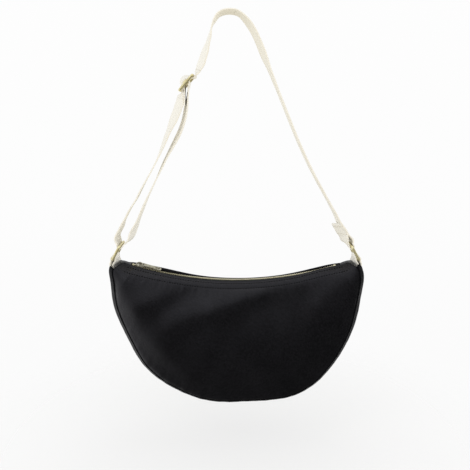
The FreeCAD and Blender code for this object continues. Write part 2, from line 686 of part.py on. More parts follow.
def tab(side):
    """Webbing folded round the lower bar of a ring and sewn to the gusset's end."""
    along = 0.0 if side < 0 else 1.0
    outward = outline_outward(along)
    climb = outline_heading(along) * side
    pivot = Vec(side * RING_PIVOT_X, 0, RING_PIVOT_Z)
    base = outline_point(along) + outward * ((GUSSET_END_CROWN - CANVAS) / 2)
    apart = ACROSS.cross(pivot - base).normalize()
    base += climb * (abs(apart.dot(climb)) * (LAYER_PITCH + WEBBING) / 2 + LAYER_GAP)
    right_foot = base + apart * (LAYER_PITCH / 2)
    left_foot = base - apart * (LAYER_PITCH / 2)
    posts = [(right_foot.x, right_foot.z, 0), (pivot.x, pivot.z, WEB_TURN), (left_foot.x, left_foot.z, 0)]
    route = route_through(posts)
    return webbing(route, 0.0, route[-1][2])


def wire_frame(low, high, half_span):
    """Closed rectangle of round wire across the bag, between two bar centres (x, z)."""
    base = Vec(low[0], 0, low[1])
    climb = Vec(high[0] - low[0], 0, high[1] - low[1])
    height = climb.Length
    climb = climb.normalize()
    bend = WIRE_CORNER * (1 - math.sqrt(2) / 2)

    def place(across, up):
        return base + ACROSS * across + climb * up

    edges = []
    start = place(0, 0)
    corners = ((1, 0), (1, 1), (-1, 1), (-1, 0))
    for number, (side, end) in enumerate(corners):
        corner_in = 1 if end == 0 else -1
        beside = (side * (half_span - WIRE_CORNER), end * height)
        upright = (side * half_span, end * height + corner_in * WIRE_CORNER)
        middle = (side * (half_span - bend), end * height + corner_in * bend)
        stops = (beside, upright) if number % 2 == 0 else (upright, beside)
        edges.append(Part.makeLine(start, place(*stops[0])))
        edges.append(Part.Arc(place(*stops[0]), place(*middle), place(*stops[1])).toShape())
        start = place(*stops[1])
    edges.append(Part.makeLine(start, place(0, 0)))
    profile = Part.Wire(Part.Circle(place(0, 0), ACROSS, WIRE_RADIUS).toShape())
    return Part.Wire(edges).makePipeShell([profile], True, False)


def ring(side):
    return wire_frame((side * RING_PIVOT_X, RING_PIVOT_Z), (side * RING_TOP_X, RING_TOP_Z), RING_HALF_SPAN)


def adjuster_frame():
    return wire_frame(adjuster_bar_place(-1), adjuster_bar_place(1), ADJUSTER_HALF_SPAN)


def adjuster_bar():
    """Middle bar of the adjuster, its ends curled round the frame's sides."""
    x, z = adjuster_bar_place(0)
    middle = Vec(x, 0, z)
    climb = Vec(ADJUSTER_LEAN[0], 0, ADJUSTER_LEAN[1])
    bar = Part.makeCylinder(WIRE_RADIUS, 2 * ADJUSTER_HALF_SPAN, middle - ACROSS * ADJUSTER_HALF_SPAN, ACROSS)
    for side in (-1, 1):
        foot = middle + ACROSS * (side * ADJUSTER_HALF_SPAN) - climb * (ADJUSTER_EYE_LENGTH / 2)
        bar = bar.fuse(Part.makeCylinder(ADJUSTER_EYE_RADIUS, ADJUSTER_EYE_LENGTH, foot, climb))
    hole_radius = WIRE_RADIUS + ADJUSTER_EYE_ROOM
    for side in (-1, 1):
        foot = middle + ACROSS * (side * ADJUSTER_HALF_SPAN) - climb * ADJUSTER_EYE_LENGTH
        bar = bar.cut(Part.makeCylinder(hole_radius, 2 * ADJUSTER_EYE_LENGTH, foot, climb))
    return bar


def all_pieces():
    """Every piece of the bag by name."""
    front = {"panel": front_panel(), "lining": front_lining(), "tape": zip_tape_front()}
    pieces = {
        "front_panel": front["panel"],
        "back_panel": mirrored(front["panel"]),
        "gusset": gusset(),
        "front_lining": front["lining"],
        "back_lining": mirrored(front["lining"]),
        "gusset_lining": gusset_lining(),
        "zip_tape_front": front["tape"],
        "zip_tape_back": mirrored(front["tape"]),
        "zip_teeth_front": zip_teeth_front(),
        "zip_teeth_back": zip_teeth_back(),
        "zip_top_stops": zip_top_stops(),
        "zip_bottom_stop": zip_bottom_stop(),
        "zip_slider": zip_slider(),
        "zip_pull": zip_pull(),
        "adjuster_frame": adjuster_frame(),
        "adjuster_bar": adjuster_bar(),
    }
    for name, side in (("left", -1), ("right", 1)):
        pieces["zip_end_tab_" + name] = zip_end_tab(side)
        pieces[name + "_tab"] = tab(side)
        pieces[name + "_ring"] = ring(side)
    for name, first, last in zip(STRAP_NODES, STRAP_CUTS, STRAP_CUTS[1:]):
        pieces[name] = webbing(STRAP_ROUTE, first, last)
    return pieces


def main():
    os.makedirs("parts", exist_ok=True)
    for name, shape in all_pieces().items():
        shape.exportStep("parts/" + name + ".step")
    print("strap webbing, end to end: %.0f mm" % STRAP_LENGTH)
    print("zip radius %.2f mm, centre %.2f mm above the rest point" % (ZIP_RADIUS, ZIP_CENTRE.z))


main()
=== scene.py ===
"""Looks of the half moon shoulder bag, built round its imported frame."""
import math

import bmesh
import bpy
import numpy as np
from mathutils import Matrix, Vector


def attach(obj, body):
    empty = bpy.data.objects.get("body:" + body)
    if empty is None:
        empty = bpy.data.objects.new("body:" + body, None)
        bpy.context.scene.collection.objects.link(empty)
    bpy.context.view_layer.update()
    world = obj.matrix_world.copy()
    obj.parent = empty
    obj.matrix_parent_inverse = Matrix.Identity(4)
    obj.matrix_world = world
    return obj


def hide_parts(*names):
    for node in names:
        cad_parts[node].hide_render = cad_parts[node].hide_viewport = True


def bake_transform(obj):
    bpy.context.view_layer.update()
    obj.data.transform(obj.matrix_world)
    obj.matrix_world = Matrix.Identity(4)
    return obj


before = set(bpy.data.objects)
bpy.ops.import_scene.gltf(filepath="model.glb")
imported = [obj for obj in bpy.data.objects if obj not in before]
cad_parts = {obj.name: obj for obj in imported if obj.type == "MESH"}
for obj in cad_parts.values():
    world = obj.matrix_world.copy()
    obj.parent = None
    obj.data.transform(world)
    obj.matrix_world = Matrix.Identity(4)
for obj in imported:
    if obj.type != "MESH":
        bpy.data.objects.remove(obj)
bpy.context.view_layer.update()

METRE = 0.001  # lengths below are millimetres, as in the part's source

# Body, as in the part's source
MOUTH_Z = -362.0
MOUTH_SAG = 27.5
MOUTH_INSET = 4.05
BODY_HALF_WIDTH = 172.0
WIDEST_Z = -372.0
BODY_DROP = 169.0
CORNER_RISE = 31.0
SHOULDER_HEIGHT = 114.0
OUTLINE_POWER = 2.15
# Slack of the outline, finer than in the part's source: reach, and middle and span as shares of the way round
SLACKS = (
    (-6.6, 0.175, 0.075), (3.5, 0.44, 0.07), (10.5, 0.655, 0.09), (-2.4, 0.45, 0.26),
    (-1.7, 0.64, 0.09), (5.5, 0.003, 0.022), (5.6, 0.99, 0.05))
MOUTH_HALF_GAP = 8.0
BOTTOM_HALF_DEPTH = 26.0
END_HALF_DEPTH = 17.0
BELLY = 17.0
GUSSET_CROWN = 8.0
GUSSET_END_CROWN = 5.0

# Mouth and stitches
TOP_BAND = 7.5  # folded edge down to the main row of stitches
EDGE_ROW = 1.9  # folded edge to the row of stitches beside the zip
STITCH_PITCH = 3.6
STITCH_LENGTH = 2.3
STITCH_RADIUS = 0.58
STITCH_SPAN = (0.03, 0.97)  # share of the mouth that a row goes along
STITCH_LOWEST = 0.93  # lowest place of a row, from mouth to seam
STITCH_BESIDE = 0.4  # down to the line that gives the cloth's slope at a row
STITCH_BESIDE_LOWEST = 0.95
WEB_STITCH_RADIUS = 0.3
HEM = 3.2  # cloth turned in behind the folded edge
FOLD_RADIUS = 0.9
EDGE_LIFT = 0.6  # folded edge above the zip's arc
# Waves of the folded edges against the zip: rise, and x and span of the wave
FRONT_EDGE = ((2.3, 122, 34), (-1.0, -20, 70), (-0.8, -160, 11), (-1.8, 161, 12))
BACK_EDGE = ((1.7, 120, 36), (3.6, -108, 46), (-0.6, 20, 60), (-3.4, -163, 15), (-3.4, 163, 18))

# Seams
CORNER_OVERRUN = 0.006  # share of the outline by which the cloth rises round the foot of the right tab
SEAM_INSET = 2.2  # seam drawn in from the outline
SEAM_GAP = 0.9
SEAM_SLIT = 0.7
SEAM_SWELL = 1.7
SEAM_SWELL_SPAN = 1.6
SEAM_ALLOWANCE = 4.0
SEAM_GROOVE = 1.6
SEAM_TURN = ((0.35, 0.1), (SEAM_GROOVE, 0.5), (SEAM_ALLOWANCE, 0.9))  # a panel's edge: depth, tuck
SEAM_LENGTH = 640.0  # rough length of the seam, for its ripples

# Relief of the panels
BELLY_POWER = 1.6
BELLY_LOSS = 0.45  # share of the belly that the front loses towards the right
BELLY_LOSS_AT = 110.0  # x where it has lost that share
FULL_RELIEF = 45.0  # length from mouth to seam from which the relief has its full height
BAND_RISE = 7.8
BAND_ROUND = 5.6
BAND_FADE = 32.0
STITCH_DENTS = ((TOP_BAND, 0.22, 1.1), (EDGE_ROW, 0.15, 0.7))  # distance from the edge, depth, span
SEAM_ROLL = 2.8
SEAM_ROLL_REACH = 3.2
SEAM_PUCKER = 0.6
SEAM_PUCKER_REACH = 11.0
BAND_PUCKER = 0.4
BAND_PUCKER_BELOW = 4.0
BAND_PUCKER_SPAN = 7.0
SEAM_CALM = 16.0  # reach over which the folds fade out towards the seam
BAND_CALM = 9.0  # and towards the band
PANEL_ROWS = ((0, 0.075, 15), (0.075, 0.93, 66), (0.93, 1, 16))  # stretches of its rows: start, end, count
# Soft folds: start and end (x, z), width, height
FRONT_FOLDS = (
    ((28, -369), (-28, -392), 21, 7.2), ((-38, -395), (-86, -410), 20, 4.2),
    ((44, -398), (-20, -432), 24, -0.7), ((-96, -372), (-138, -390), 16, 2.9),
    ((-76, -386), (-124, -412), 17, -0.8), ((-110, -440), (-70, -500), 17, 1.4),
    ((150, -352), (110, -390), 14, 0.5), ((104, -380), (82, -440), 14, -0.9),
    ((60, -470), (110, -505), 16, 0.8))
BACK_FOLDS = (
    ((156, -352), (80, -430), 15, 2.4), ((120, -362), (60, -440), 13, -1.8),
    ((-20, -378), (40, -440), 15, 2.4), ((-150, -352), (-86, -412), 14, 2.2),
    ((-90, -380), (-60, -450), 14, -1.7), ((20, -480), (90, -505), 18, 1.3))

# Gusset and linings
CROWN_POWER = 2.3
CROWN_END_POWER = 2.7  # added at its ends
CROWN_END_SPAN = 0.035
GUSSET_TUCKS = (0.7, 0.5)
GUSSET_WRINKLE = 0.4  # along the seams
GUSSET_WRINKLE_REACH = 0.3
GUSSET_RIPPLE = 0.15
GUSSET_ENDS = ((-0.4, 0.9), (4.0, 2.4))  # lip and tail of its ends: length along, depth
LINING_SPAN = (0.02, 0.98)  # share of the outline that the linings go along
LINING_DROP = (0.1, 0.97)  # and of the way from mouth to seam
LINING_INSET = 4.2
GUSSET_LINING_INSET = 4.5
GUSSET_LINING_SINK = 3.2

# Zip tape, from the teeth out: distance from the middle, lift above the arc
TAPE_SECTION = (
    (1.55, -0.25), (1.6, 0.3), (2.4, 0.3), (3.6, 0.12), (4.9, 0.0), (5.6, -0.5), (5.95, -1.5), (6.0, -9.0))
TAPE_END_GAP = 5.0
# Cloth past the end of the zip
CORNER_FROM_X = 149.0
CORNER_LENGTH = 17.6
CORNER_FLARE_X = 158.0
CORNER_FLARE_LENGTH = 8.6
CORNER_HALF_WIDTH = 5.9
CORNER_FLARE = 8.6
CORNER_LIFT = 1.3
CORNER_ARCH = 0.5
CORNER_SAG = 2.4
CORNER_EDGE_SAG = 0.8
CORNER_ROLL = 0.9

# Webbing
WEB_WIDTH = 30.0
WEB_THICK = 1.8
WEB_STEP = 1.5
WEB_TURN = 3.1  # radius of its middle line round a wire
WEB_EDGE = 0.6  # rounded edge of its section
TAB_SEAT = -3.7  # middle of a tab's foot, outward from the outline
TAB_SINK = 5.0  # foot of a tab below the corner
TAB_HALF_GAP = 1.0  # half the distance of its two layers there
TAB_YAW = 20.0  # degrees that the foot is turned from the ring
# Route of the strap, as in the part's source apart from its tail. Angles are in degrees.
RING_PIVOT_OUT = 4.45  # lower bar of a ring, outward of the corner
RING_PIVOT_UP = 13.5  # and above it
RING_HEIGHT = 20.5  # lower bar to upper bar
RING_LEAN = 29.0
APEX_RIGHT = (-5.0, 25.0)  # x and radius of the curves over the hook
APEX_LEFT = (-10.5, 22.0)
APEX_EASE_RADIUS = 100.0  # slacker curve where the right leg begins
APEX_EASE_SLOPE = 40.0
APEX_EASE_RUN = 0.5
LEG_BOW = 8.5  # sag of the right leg
LEG_BOW_AT = 0.45  # its place, as a share of the leg up from the ring
LEG_BOW_ROUND = 0.063  # its radius times its sag, as a share of the leg's length squared
ADJUSTER_AT = 0.2875  # middle bar, as a share of the left leg down from the hook
ADJUSTER_IN = 4.8  # and inward of the straight leg
ADJUSTER_PITCH = 12.6  # middle bar to each end bar
ADJUSTER_TILT = 19.4  # lean beyond the leg's
ADJUSTER_TURN = 5.2  # radius of the strap round the middle bar, over its sewn end
FOLD_LENGTH = 36.0  # right end, sewn back on itself
FOLD_OPEN = 16.0  # part of it that stands open round the ring
FOLD_BEND = 12.0
FOLD_PITCH = 2.0  # between the middles of its two layers
LOOP_BELLY = 5.5  # slack of the front layer above the left ring
LOOP_BELLY_RADIUS = 60.0
LOOP_BELLY_UP = 32.0
# Bends of the doubled run: place on the line from ring to adjuster, distance from it, radius
RETURN_BELLY = (17.8, 18.1, 25.0)  # placed from the ring
RETURN_BOW = (-59.5, 53.4, 70.0)  # placed from the adjuster
TAIL_LENGTH = 30.0  # left end, sewn back below the adjuster
TAIL_PITCH = 2.2
POST_DIGITS = 3  # decimals that the posts are rounded to
# Bars that hold the strap to its route: length along it, half the stretch that stays
BARS = ((41.0, 9.0), (509.0, 5.0), (524.0, 6.0), (538.0, 5.0), (772.8, 9.0), (1026.8, 9.0))
MOST_EASE = 11.0  # reach of the easing of its bends, away from bars and ends
LEAST_EASE = 0.2
EASE_RISE = 0.5  # growth of that reach with the distance from a bar or end
# Shift to the left of the route, in millimetres, at lengths along it
SHIFT = (
    (0, -3.0), (16, -2.6), (28, -3.6), (37, 0), (47, 0), (54, -2.0), (66, 0.8), (82, 1.2),
    (100, 0.2), (120, 0), (300, 0.4), (361, 0.5), (383, 0.8), (400, -0.8), (420, -1.0),
    (433, 0.5), (459, 2.4), (487, 2.3), (500, 0.8), (508, 0), (523, -2.4), (538, 0),
    (546, 0.4), (556, 2.6), (566, 3.6), (578, 4.0), (637, 5.9), (692, 3.0), (722, 0),
    (743, -1.3), (758, -4.5), (769, 0), (778, 0), (790, -2.5), (806, -1.0), (860, 1.5),
    (913, 2.1), (960, 0.8), (987, 0), (1063, 0))
# Turn about its own run, in degrees, at lengths along it
TWIST = (
    (0, -20), (14, -22), (28, -11), (37, 0), (47, 0), (56, 5), (70, 9), (92, 3), (115, 1),
    (280, 1), (305, 3), (335, 11), (372, 10), (395, 5), (412, 4), (428, 2), (440, -3),
    (456, -11), (476, -20), (490, -21), (500, -15), (508, 0), (523, -14), (538, 0),
    (541, -8), (547, -21), (556, -25), (572, -24), (600, -14), (645, -5), (690, -2),
    (728, -2), (748, 4), (762, 4), (770, 0), (778, 0), (788, -6), (800, -10), (825, -1),
    (870, 3), (913, 8), (950, 13), (988, 13), (1008, 7), (1020, 0), (1034, 0),
    (1046, -3), (1063, -5))
# Pieces of the strap, cut where the joints bend it: name, node, length at its start, held, rests on
STRAP_CUTS = (
    ("strap_right_end", "strap_right_end", 0.0, "folded", ["right_ring"]),
    ("strap_run", "strap_run", 176.3, "hung", ["strap_right_end_web"]),
    ("strap_above_adjuster", "strap_adjuster_run", 400.0, "stretched", ["adjuster_frame"]),
    ("strap_in_adjuster", "strap_adjuster_run", 498.0, "folded", ["adjuster_frame", "adjuster_bar"]),
    ("strap_below_adjuster", "strap_adjuster_run", 548.0, "stretched", ["adjuster_frame"]),
    ("strap_left_loop", "strap_left_loop", 708.6, "folded", ["left_ring"]),
    ("strap_return", "strap_return", 836.9, "folded", ["adjuster_bar"]))
# Rows of stitches across the strap, at lengths along it
FOLD_ROWS = (5.0, 17.0, 63.5, 75.5)
TAIL_ROWS = (998.0, 1012.0, 1043.0, 1056.0)
ACROSS_ROW = np.arange(-13.2, 13.3, 3.3)

CORNER_X = BODY_HALF_WIDTH * (1 - (CORNER_RISE / SHOULDER_HEIGHT) ** OUTLINE_POWER) ** (1 / OUTLINE_POWER)
CORNER_ANGLE = math.atan2(CORNER_RISE, CORNER_X)
OUTLINE_START = math.pi - CORNER_ANGLE
OUTLINE_SWEEP = math.pi + 2 * CORNER_ANGLE
MOUTH_HALF_SPAN = CORNER_X - MOUTH_INSET
ZIP_RADIUS = (MOUTH_HALF_SPAN ** 2 + MOUTH_SAG ** 2) / (2 * MOUTH_SAG)
ZIP_CENTRE_Z = MOUTH_Z + ZIP_RADIUS
MOUTH_SPAN_ANGLE = math.asin(MOUTH_HALF_SPAN / ZIP_RADIUS)
RING_PIVOT = (CORNER_X + RING_PIVOT_OUT, WIDEST_Z + CORNER_RISE + RING_PIVOT_UP)


# Materials


def new_material(name):
    material = bpy.data.materials.new(name)
    material.use_nodes = True
    return material, material.node_tree, material.node_tree.nodes["Principled BSDF"]


def math_node(tree, operation, first, second=None):
    node = tree.nodes.new("ShaderNodeMath")
    node.operation = operation
    for socket, value in zip(node.inputs, (first, second)):
        if value is None:
            continue
        if isinstance(value, (int, float)):
            socket.default_value = value
        else:
            tree.links.new(value, socket)
    return node.outputs[0]


def noise_node(tree, vector, scale, detail=3.0):
    node = tree.nodes.new("ShaderNodeTexNoise")
    node.inputs["Scale"].default_value = scale
    node.inputs["Detail"].default_value = detail
    tree.links.new(vector, node.inputs["Vector"])
    return node.outputs["Fac"]


def ramp_node(tree, factor, stops):
    node = tree.nodes.new("ShaderNodeValToRGB")
    elements = node.color_ramp.elements
    for element, (place, colour) in zip(elements, (stops[0], stops[-1])):
        element.position = place
        element.color = (*colour, 1.0)
    for place, colour in stops[1:-1]:
        elements.new(place).color = (*colour, 1.0)
    tree.links.new(factor, node.inputs["Fac"])
    return node.outputs["Color"]


def range_node(tree, value, low=0.0, high=1.0, limits=(0.0, 1.0), curve="LINEAR"):
    """Value's place between two limits, brought to between low and high."""
    node = tree.nodes.new("ShaderNodeMapRange")
    node.interpolation_type = curve
    for name, number in zip(("From Min", "From Max", "To Min", "To Max"), (*limits, low, high)):
        node.inputs[name].default_value = number
    tree.links.new(value, node.inputs["Value"])
    return node.outputs["Result"]


def bump_node(tree, height, distance, strength, normal=None):
    node = tree.nodes.new("ShaderNodeBump")
    node.inputs["Distance"].default_value = distance
    node.inputs["Strength"].default_value = strength
    node.inputs["Filter Width"].default_value = 1.0
    tree.links.new(height, node.inputs["Height"])
    if normal is not None:
        tree.links.new(normal, node.inputs["Normal"])
    return node.outputs["Normal"]


def cloth_places(tree):
    """The cloth's own coordinates in metres, across and along, and the object's coordinates."""
    coords = tree.nodes.new("ShaderNodeTexCoord")
    split = tree.nodes.new("ShaderNodeSeparateXYZ")
    tree.links.new(coords.outputs["UV"], split.inputs[0])
    return split.outputs["X"], split.outputs["Y"], coords.outputs["Object"]


def object_place(tree):
    return tree.nodes.new("ShaderNodeTexCoord").outputs["Object"]


def weighted_sum(tree, *terms):
    """Sum of values, each times its weight."""
    total = None
    for value, weight in terms:
        part = math_node(tree, "MULTIPLY", value, weight)
        total = part if total is None else math_node(tree, "ADD", total, part)
    return total


def wave(tree, place, pitch):
    return math_node(tree, "SINE", math_node(tree, "MULTIPLY", place, 2 * math.pi / pitch))


def ribs(tree, place, pitch):
    """Wave between 0 and 1."""
    return math_node(tree, "ADD", math_node(tree, "MULTIPLY", wave(tree, place, pitch), 0.5), 0.5)


def canvas_material(name, dark, light, pitch, gloss):
    """Plain weave of a pitch in metres, with slubs in the yarn, a coarser grain and broad patches of lighter
    and darker tone.
    """
    material, tree, shader = new_material(name)
    across, along, place = cloth_places(tree)
    weave = math_node(tree, "MULTIPLY", wave(tree, across, pitch), wave(tree, along, pitch))
    slub = noise_node(tree, place, 900.0, 2.0)
    cloud = noise_node(tree, place, 22.0, 4.0)
    grain = range_node(tree, noise_node(tree, place, 430.0, 1.0), limits=(0.25, 0.75))
    tone = weighted_sum(tree, (slub, 0.3), (cloud, 0.35), (grain, 0.35), (weave, 0.07))
    tree.links.new(ramp_node(tree, tone, ((0.36, dark), (0.64, light))), shader.inputs["Base Color"])
    tree.links.new(range_node(tree, cloud, 0.38, 0.48), shader.inputs["Roughness"])
    yarn = bump_node(tree, weave, 0.00012, 0.5)
    slubbed = bump_node(tree, slub, 0.00025, 0.35, yarn)
    tree.links.new(bump_node(tree, grain, 0.00028, 0.6, slubbed), shader.inputs["Normal"])
    shader.inputs["Specular IOR Level"].default_value = gloss
    shader.inputs["Specular Tint"].default_value = (0.92, 0.90, 1.0, 1.0)
    return material


def webbing_material():
    """Cream cotton webbing: chevron ribs, a coarse selvedge and a few darker yarns."""
    half_chevron, rib_pitch, knot_pitch, selvedge_from = 0.0025, 0.0013, 0.0021, 0.0134
    material, tree, shader = new_material("cream_webbing")
    across, along, place = cloth_places(tree)
    slant = math_node(tree, "ADD", along, math_node(tree, "PINGPONG", across, half_chevron))
    rib = ribs(tree, slant, rib_pitch)
    selvedge = math_node(tree, "GREATER_THAN", math_node(tree, "ABSOLUTE", across), selvedge_from)
    edge = math_node(tree, "MULTIPLY", selvedge, ribs(tree, along, knot_pitch))
    speck = noise_node(tree, place, 1500.0, 2.0)
    cloud = noise_node(tree, place, 30.0, 3.0)
    tone = weighted_sum(tree, (speck, 0.14), (cloud, 0.24), (rib, 0.12), (edge, -0.28))
    tone = math_node(tree, "ADD", tone, 0.30)
    stops = ((0.12, (0.70, 0.62, 0.48)), (0.42, (0.87, 0.843, 0.768)), (0.64, (0.89, 0.874, 0.822)))
    tree.links.new(ramp_node(tree, tone, stops), shader.inputs["Base Color"])
    tree.links.new(range_node(tree, cloud, 0.78, 0.92), shader.inputs["Roughness"])
    ribbed = bump_node(tree, rib, 0.00006, 0.10)
    tree.links.new(bump_node(tree, edge, 0.00008, 0.10, ribbed), shader.inputs["Normal"])
    shader.inputs["Specular IOR Level"].default_value = 0.12
    shader.inputs["Sheen Weight"].default_value = 0.04
    return material


def brass_material(name, bright, dull, rough_low, rough_high):
    """Pale brass with handling marks and duller patches."""
    material, tree, shader = new_material(name)
    place = object_place(tree)
    patch = noise_node(tree, place, 180.0, 5.0)
    scratch = noise_node(tree, place, 2600.0, 2.0)
    tree.links.new(ramp_node(tree, patch, ((0.35, dull), (0.62, bright))), shader.inputs["Base Color"])
    tree.links.new(range_node(tree, patch, rough_high, rough_low), shader.inputs["Roughness"])
    tree.links.new(bump_node(tree, scratch, 0.00003, 0.25), shader.inputs["Normal"])
    shader.inputs["Metallic"].default_value = 0.7
    return material


def thread_material(name, dark, light):
    material, tree, shader = new_material(name)
    fuzz = noise_node(tree, object_place(tree), 2200.0, 2.0)
    tree.links.new(ramp_node(tree, fuzz, ((0.35, dark), (0.65, light))), shader.inputs["Base Color"])
    tree.links.new(range_node(tree, fuzz, 0.55, 0.8), shader.inputs["Roughness"])
    shader.inputs["Specular IOR Level"].default_value = 0.08
    return material


CANVAS = canvas_material(
    "black_canvas", (0.0006, 0.0006, 0.0009), (0.0050, 0.0050, 0.0063), 0.0011, 0.32)
# The gusset is the same canvas as the panels: this copy, with much less gloss and a narrower spread of tone,
# makes it read darker than them, as painted shade.
GUSSET_SHADED_CANVAS = canvas_material(
    "black_canvas_painted_shade", (0.0016, 0.0016, 0.0021), (0.0036, 0.0036, 0.0046), 0.0011, 0.07)
LINING = canvas_material("dark_lining", (0.004, 0.004, 0.0045), (0.008, 0.008, 0.009), 0.0006, 0.12)
TAPE = canvas_material("zip_tape_weave", (0.0022, 0.0022, 0.0025), (0.0045, 0.0045, 0.005), 0.0008, 0.08)
WEBBING = webbing_material()
BRASS = brass_material("pale_brass", (0.86, 0.79, 0.49), (0.70, 0.61, 0.33), 0.24, 0.40)
TEETH_BRASS = brass_material("teeth_brass", (0.88, 0.81, 0.54), (0.70, 0.63, 0.40), 0.22, 0.38)
SLIDER_BRASS = brass_material("slider_brass", (0.55, 0.525, 0.42), (0.30, 0.27, 0.18), 0.18, 0.34)
BLACK_THREAD = thread_material("black_thread", (0.0012, 0.0012, 0.0014), (0.003, 0.003, 0.0034))
CREAM_THREAD = thread_material("cream_thread", (0.42, 0.37, 0.27), (0.66, 0.61, 0.5))


# Mesh making


def add_object(name, data):
    added = bpy.data.objects.new(name, data)
    bpy.context.scene.collection.objects.link(added)
    return added


def finish_mesh(name, points, faces, uvs, material):
    """Mesh object from points in millimetres, with one UV per face corner."""
    mesh = bpy.data.meshes.new(name)
    mesh.from_pydata((np.asarray(points, float) * METRE).tolist(), [], faces)
    layer = mesh.uv_layers.new(name="cloth")
    layer.data.foreach_set("uv", (np.asarray(uvs, float) * METRE).ravel())
    mesh.polygons.foreach_set("use_smooth", [True] * len(mesh.polygons))
    mesh.materials.append(material)
    mesh.update()
    return add_object(name, mesh)


def grid_piece(name, grid, material, flip=False):
    """Open sheet from rows of points, with its own lengths as UVs."""
    rows, columns = grid.shape[:2]
    across = np.zeros((rows, columns))
    along = np.zeros((rows, columns))
    across[:, 1:] = np.cumsum(np.linalg.norm(np.diff(grid, axis=1), axis=2), axis=1)
    along[1:] = np.cumsum(np.linalg.norm(np.diff(grid, axis=0), axis=2), axis=0)
    across -= across[:, -1:] / 2
    uv = np.stack([across, along], -1).reshape(-1, 2)
    index = np.arange(rows * columns).reshape(rows, columns)
    quads = np.stack([index[:-1, :-1], index[1:, :-1], index[1:, 1:], index[:-1, 1:]], -1).reshape(-1, 4)
    if flip:
        quads = quads[:, ::-1]
    return finish_mesh(name, grid.reshape(-1, 3), quads.tolist(), uv[quads.ravel()], material)


def in_space(line, depth=0.0):
    """Points (x, z) as points in space, at a depth."""
    return np.stack([line[:, 0], np.broadcast_to(depth, len(line)), line[:, 1]], -1)


def sheet_piece(piece, node, slot, flat, held, rests_on, area=None, with_pieces=()):
    """Hide the CAD node that a piece of cloth stands for."""
    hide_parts(node)


def bag_sheet(piece, *facts):
    """Hide the CAD node that a piece of cloth stands for, and make the piece move with the bag."""
    sheet_piece(piece, *facts)
    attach(piece, "bag")


# Body


def outline(along):
    """Seam outline (x, z) from the left corner under the bag to the right corner."""
    angle = OUTLINE_START + along * OUTLINE_SWEEP
    cos, sin = np.cos(angle), np.sin(angle)
    rise = np.where(sin > 0, SHOULDER_HEIGHT, BODY_DROP)
    wide_term = np.abs(cos / BODY_HALF_WIDTH) ** OUTLINE_POWER
    radius = (wide_term + np.abs(sin / rise) ** OUTLINE_POWER) ** (-1 / OUTLINE_POWER)
    for reach, place, span in SLACKS:
        radius = radius + reach * bump(along, place, span)
    return np.stack([radius * cos, WIDEST_Z + radius * sin], -1)


def outline_heading(along):
    step = outline(along + 1e-4) - outline(along - 1e-4)
    return step / np.linalg.norm(step, axis=-1, keepdims=True)


def outline_outward(along):
    heading = outline_heading(along)
    return np.stack([heading[..., 1], -heading[..., 0]], -1)


def zip_arc(angle, lift):
    """Point (x, z) on the zip's arc, lifted towards its centre."""
    radius = ZIP_RADIUS - lift
    return np.stack([radius * np.sin(angle), ZIP_CENTRE_Z - radius * np.cos(angle)], -1)


def seam(along):
    """Seam line (x, z), drawn in from the outline and run on past its right corner, and its outward side."""
    spot = along * (1 + CORNER_OVERRUN)
    return outline(spot) - outline_outward(spot) * SEAM_INSET, outline_outward(spot)


def bump(place, middle, span):
    """Smooth bump of height 1."""
    return np.exp(-((place - middle) / span) ** 2)


def smooth_step(share):
    """Rise from 0 to 1 that starts and ends level."""
    share = np.clip(share, 0, 1)
    return share * share * (3 - 2 * share)


def mouth(along, side):
    """Folded edge of a panel, which stands a little above or below the zip along its length."""
    place = zip_arc((2 * along - 1) * MOUTH_SPAN_ANGLE, EDGE_LIFT)
    x = place[..., 0]
    waves = FRONT_EDGE if side < 0 else BACK_EDGE
    place[..., 1] += sum(rise * bump(x, middle, span) for rise, middle, span in waves)
    return place


def ripple(along, phase):
    """Uneven ripple along a seam, about -1 to 1."""
    length = along * SEAM_LENGTH
    return (np.sin(length / 2.3 + phase) * 0.3 + np.sin(length / 4.1 + 2.1 * phase) * 0.4
            + np.sin(length / 7.7 + 0.7 * phase) * 0.45)


def ridge(x, z, start, end, width, height):
    """Soft fold of the cloth along a line."""
    run = np.array(end) - np.array(start)
    share = np.clip(((x - start[0]) * run[0] + (z - start[1]) * run[1]) / (run @ run), 0, 1)
    away = np.hypot(x - start[0] - share * run[0], z - start[1] - share * run[1])
    return height * np.exp(-(away / width) ** 2)


def unevenness(x, z, side):
    """Slow waves of the cloth, under a millimetre high."""
    broad = 0.5 * np.sin(x / 23.0 + 1.3 * side) * np.sin(z / 19.0 + 0.4)
    return broad + 0.25 * np.sin(x / 9.0 - z / 14.0 + side)


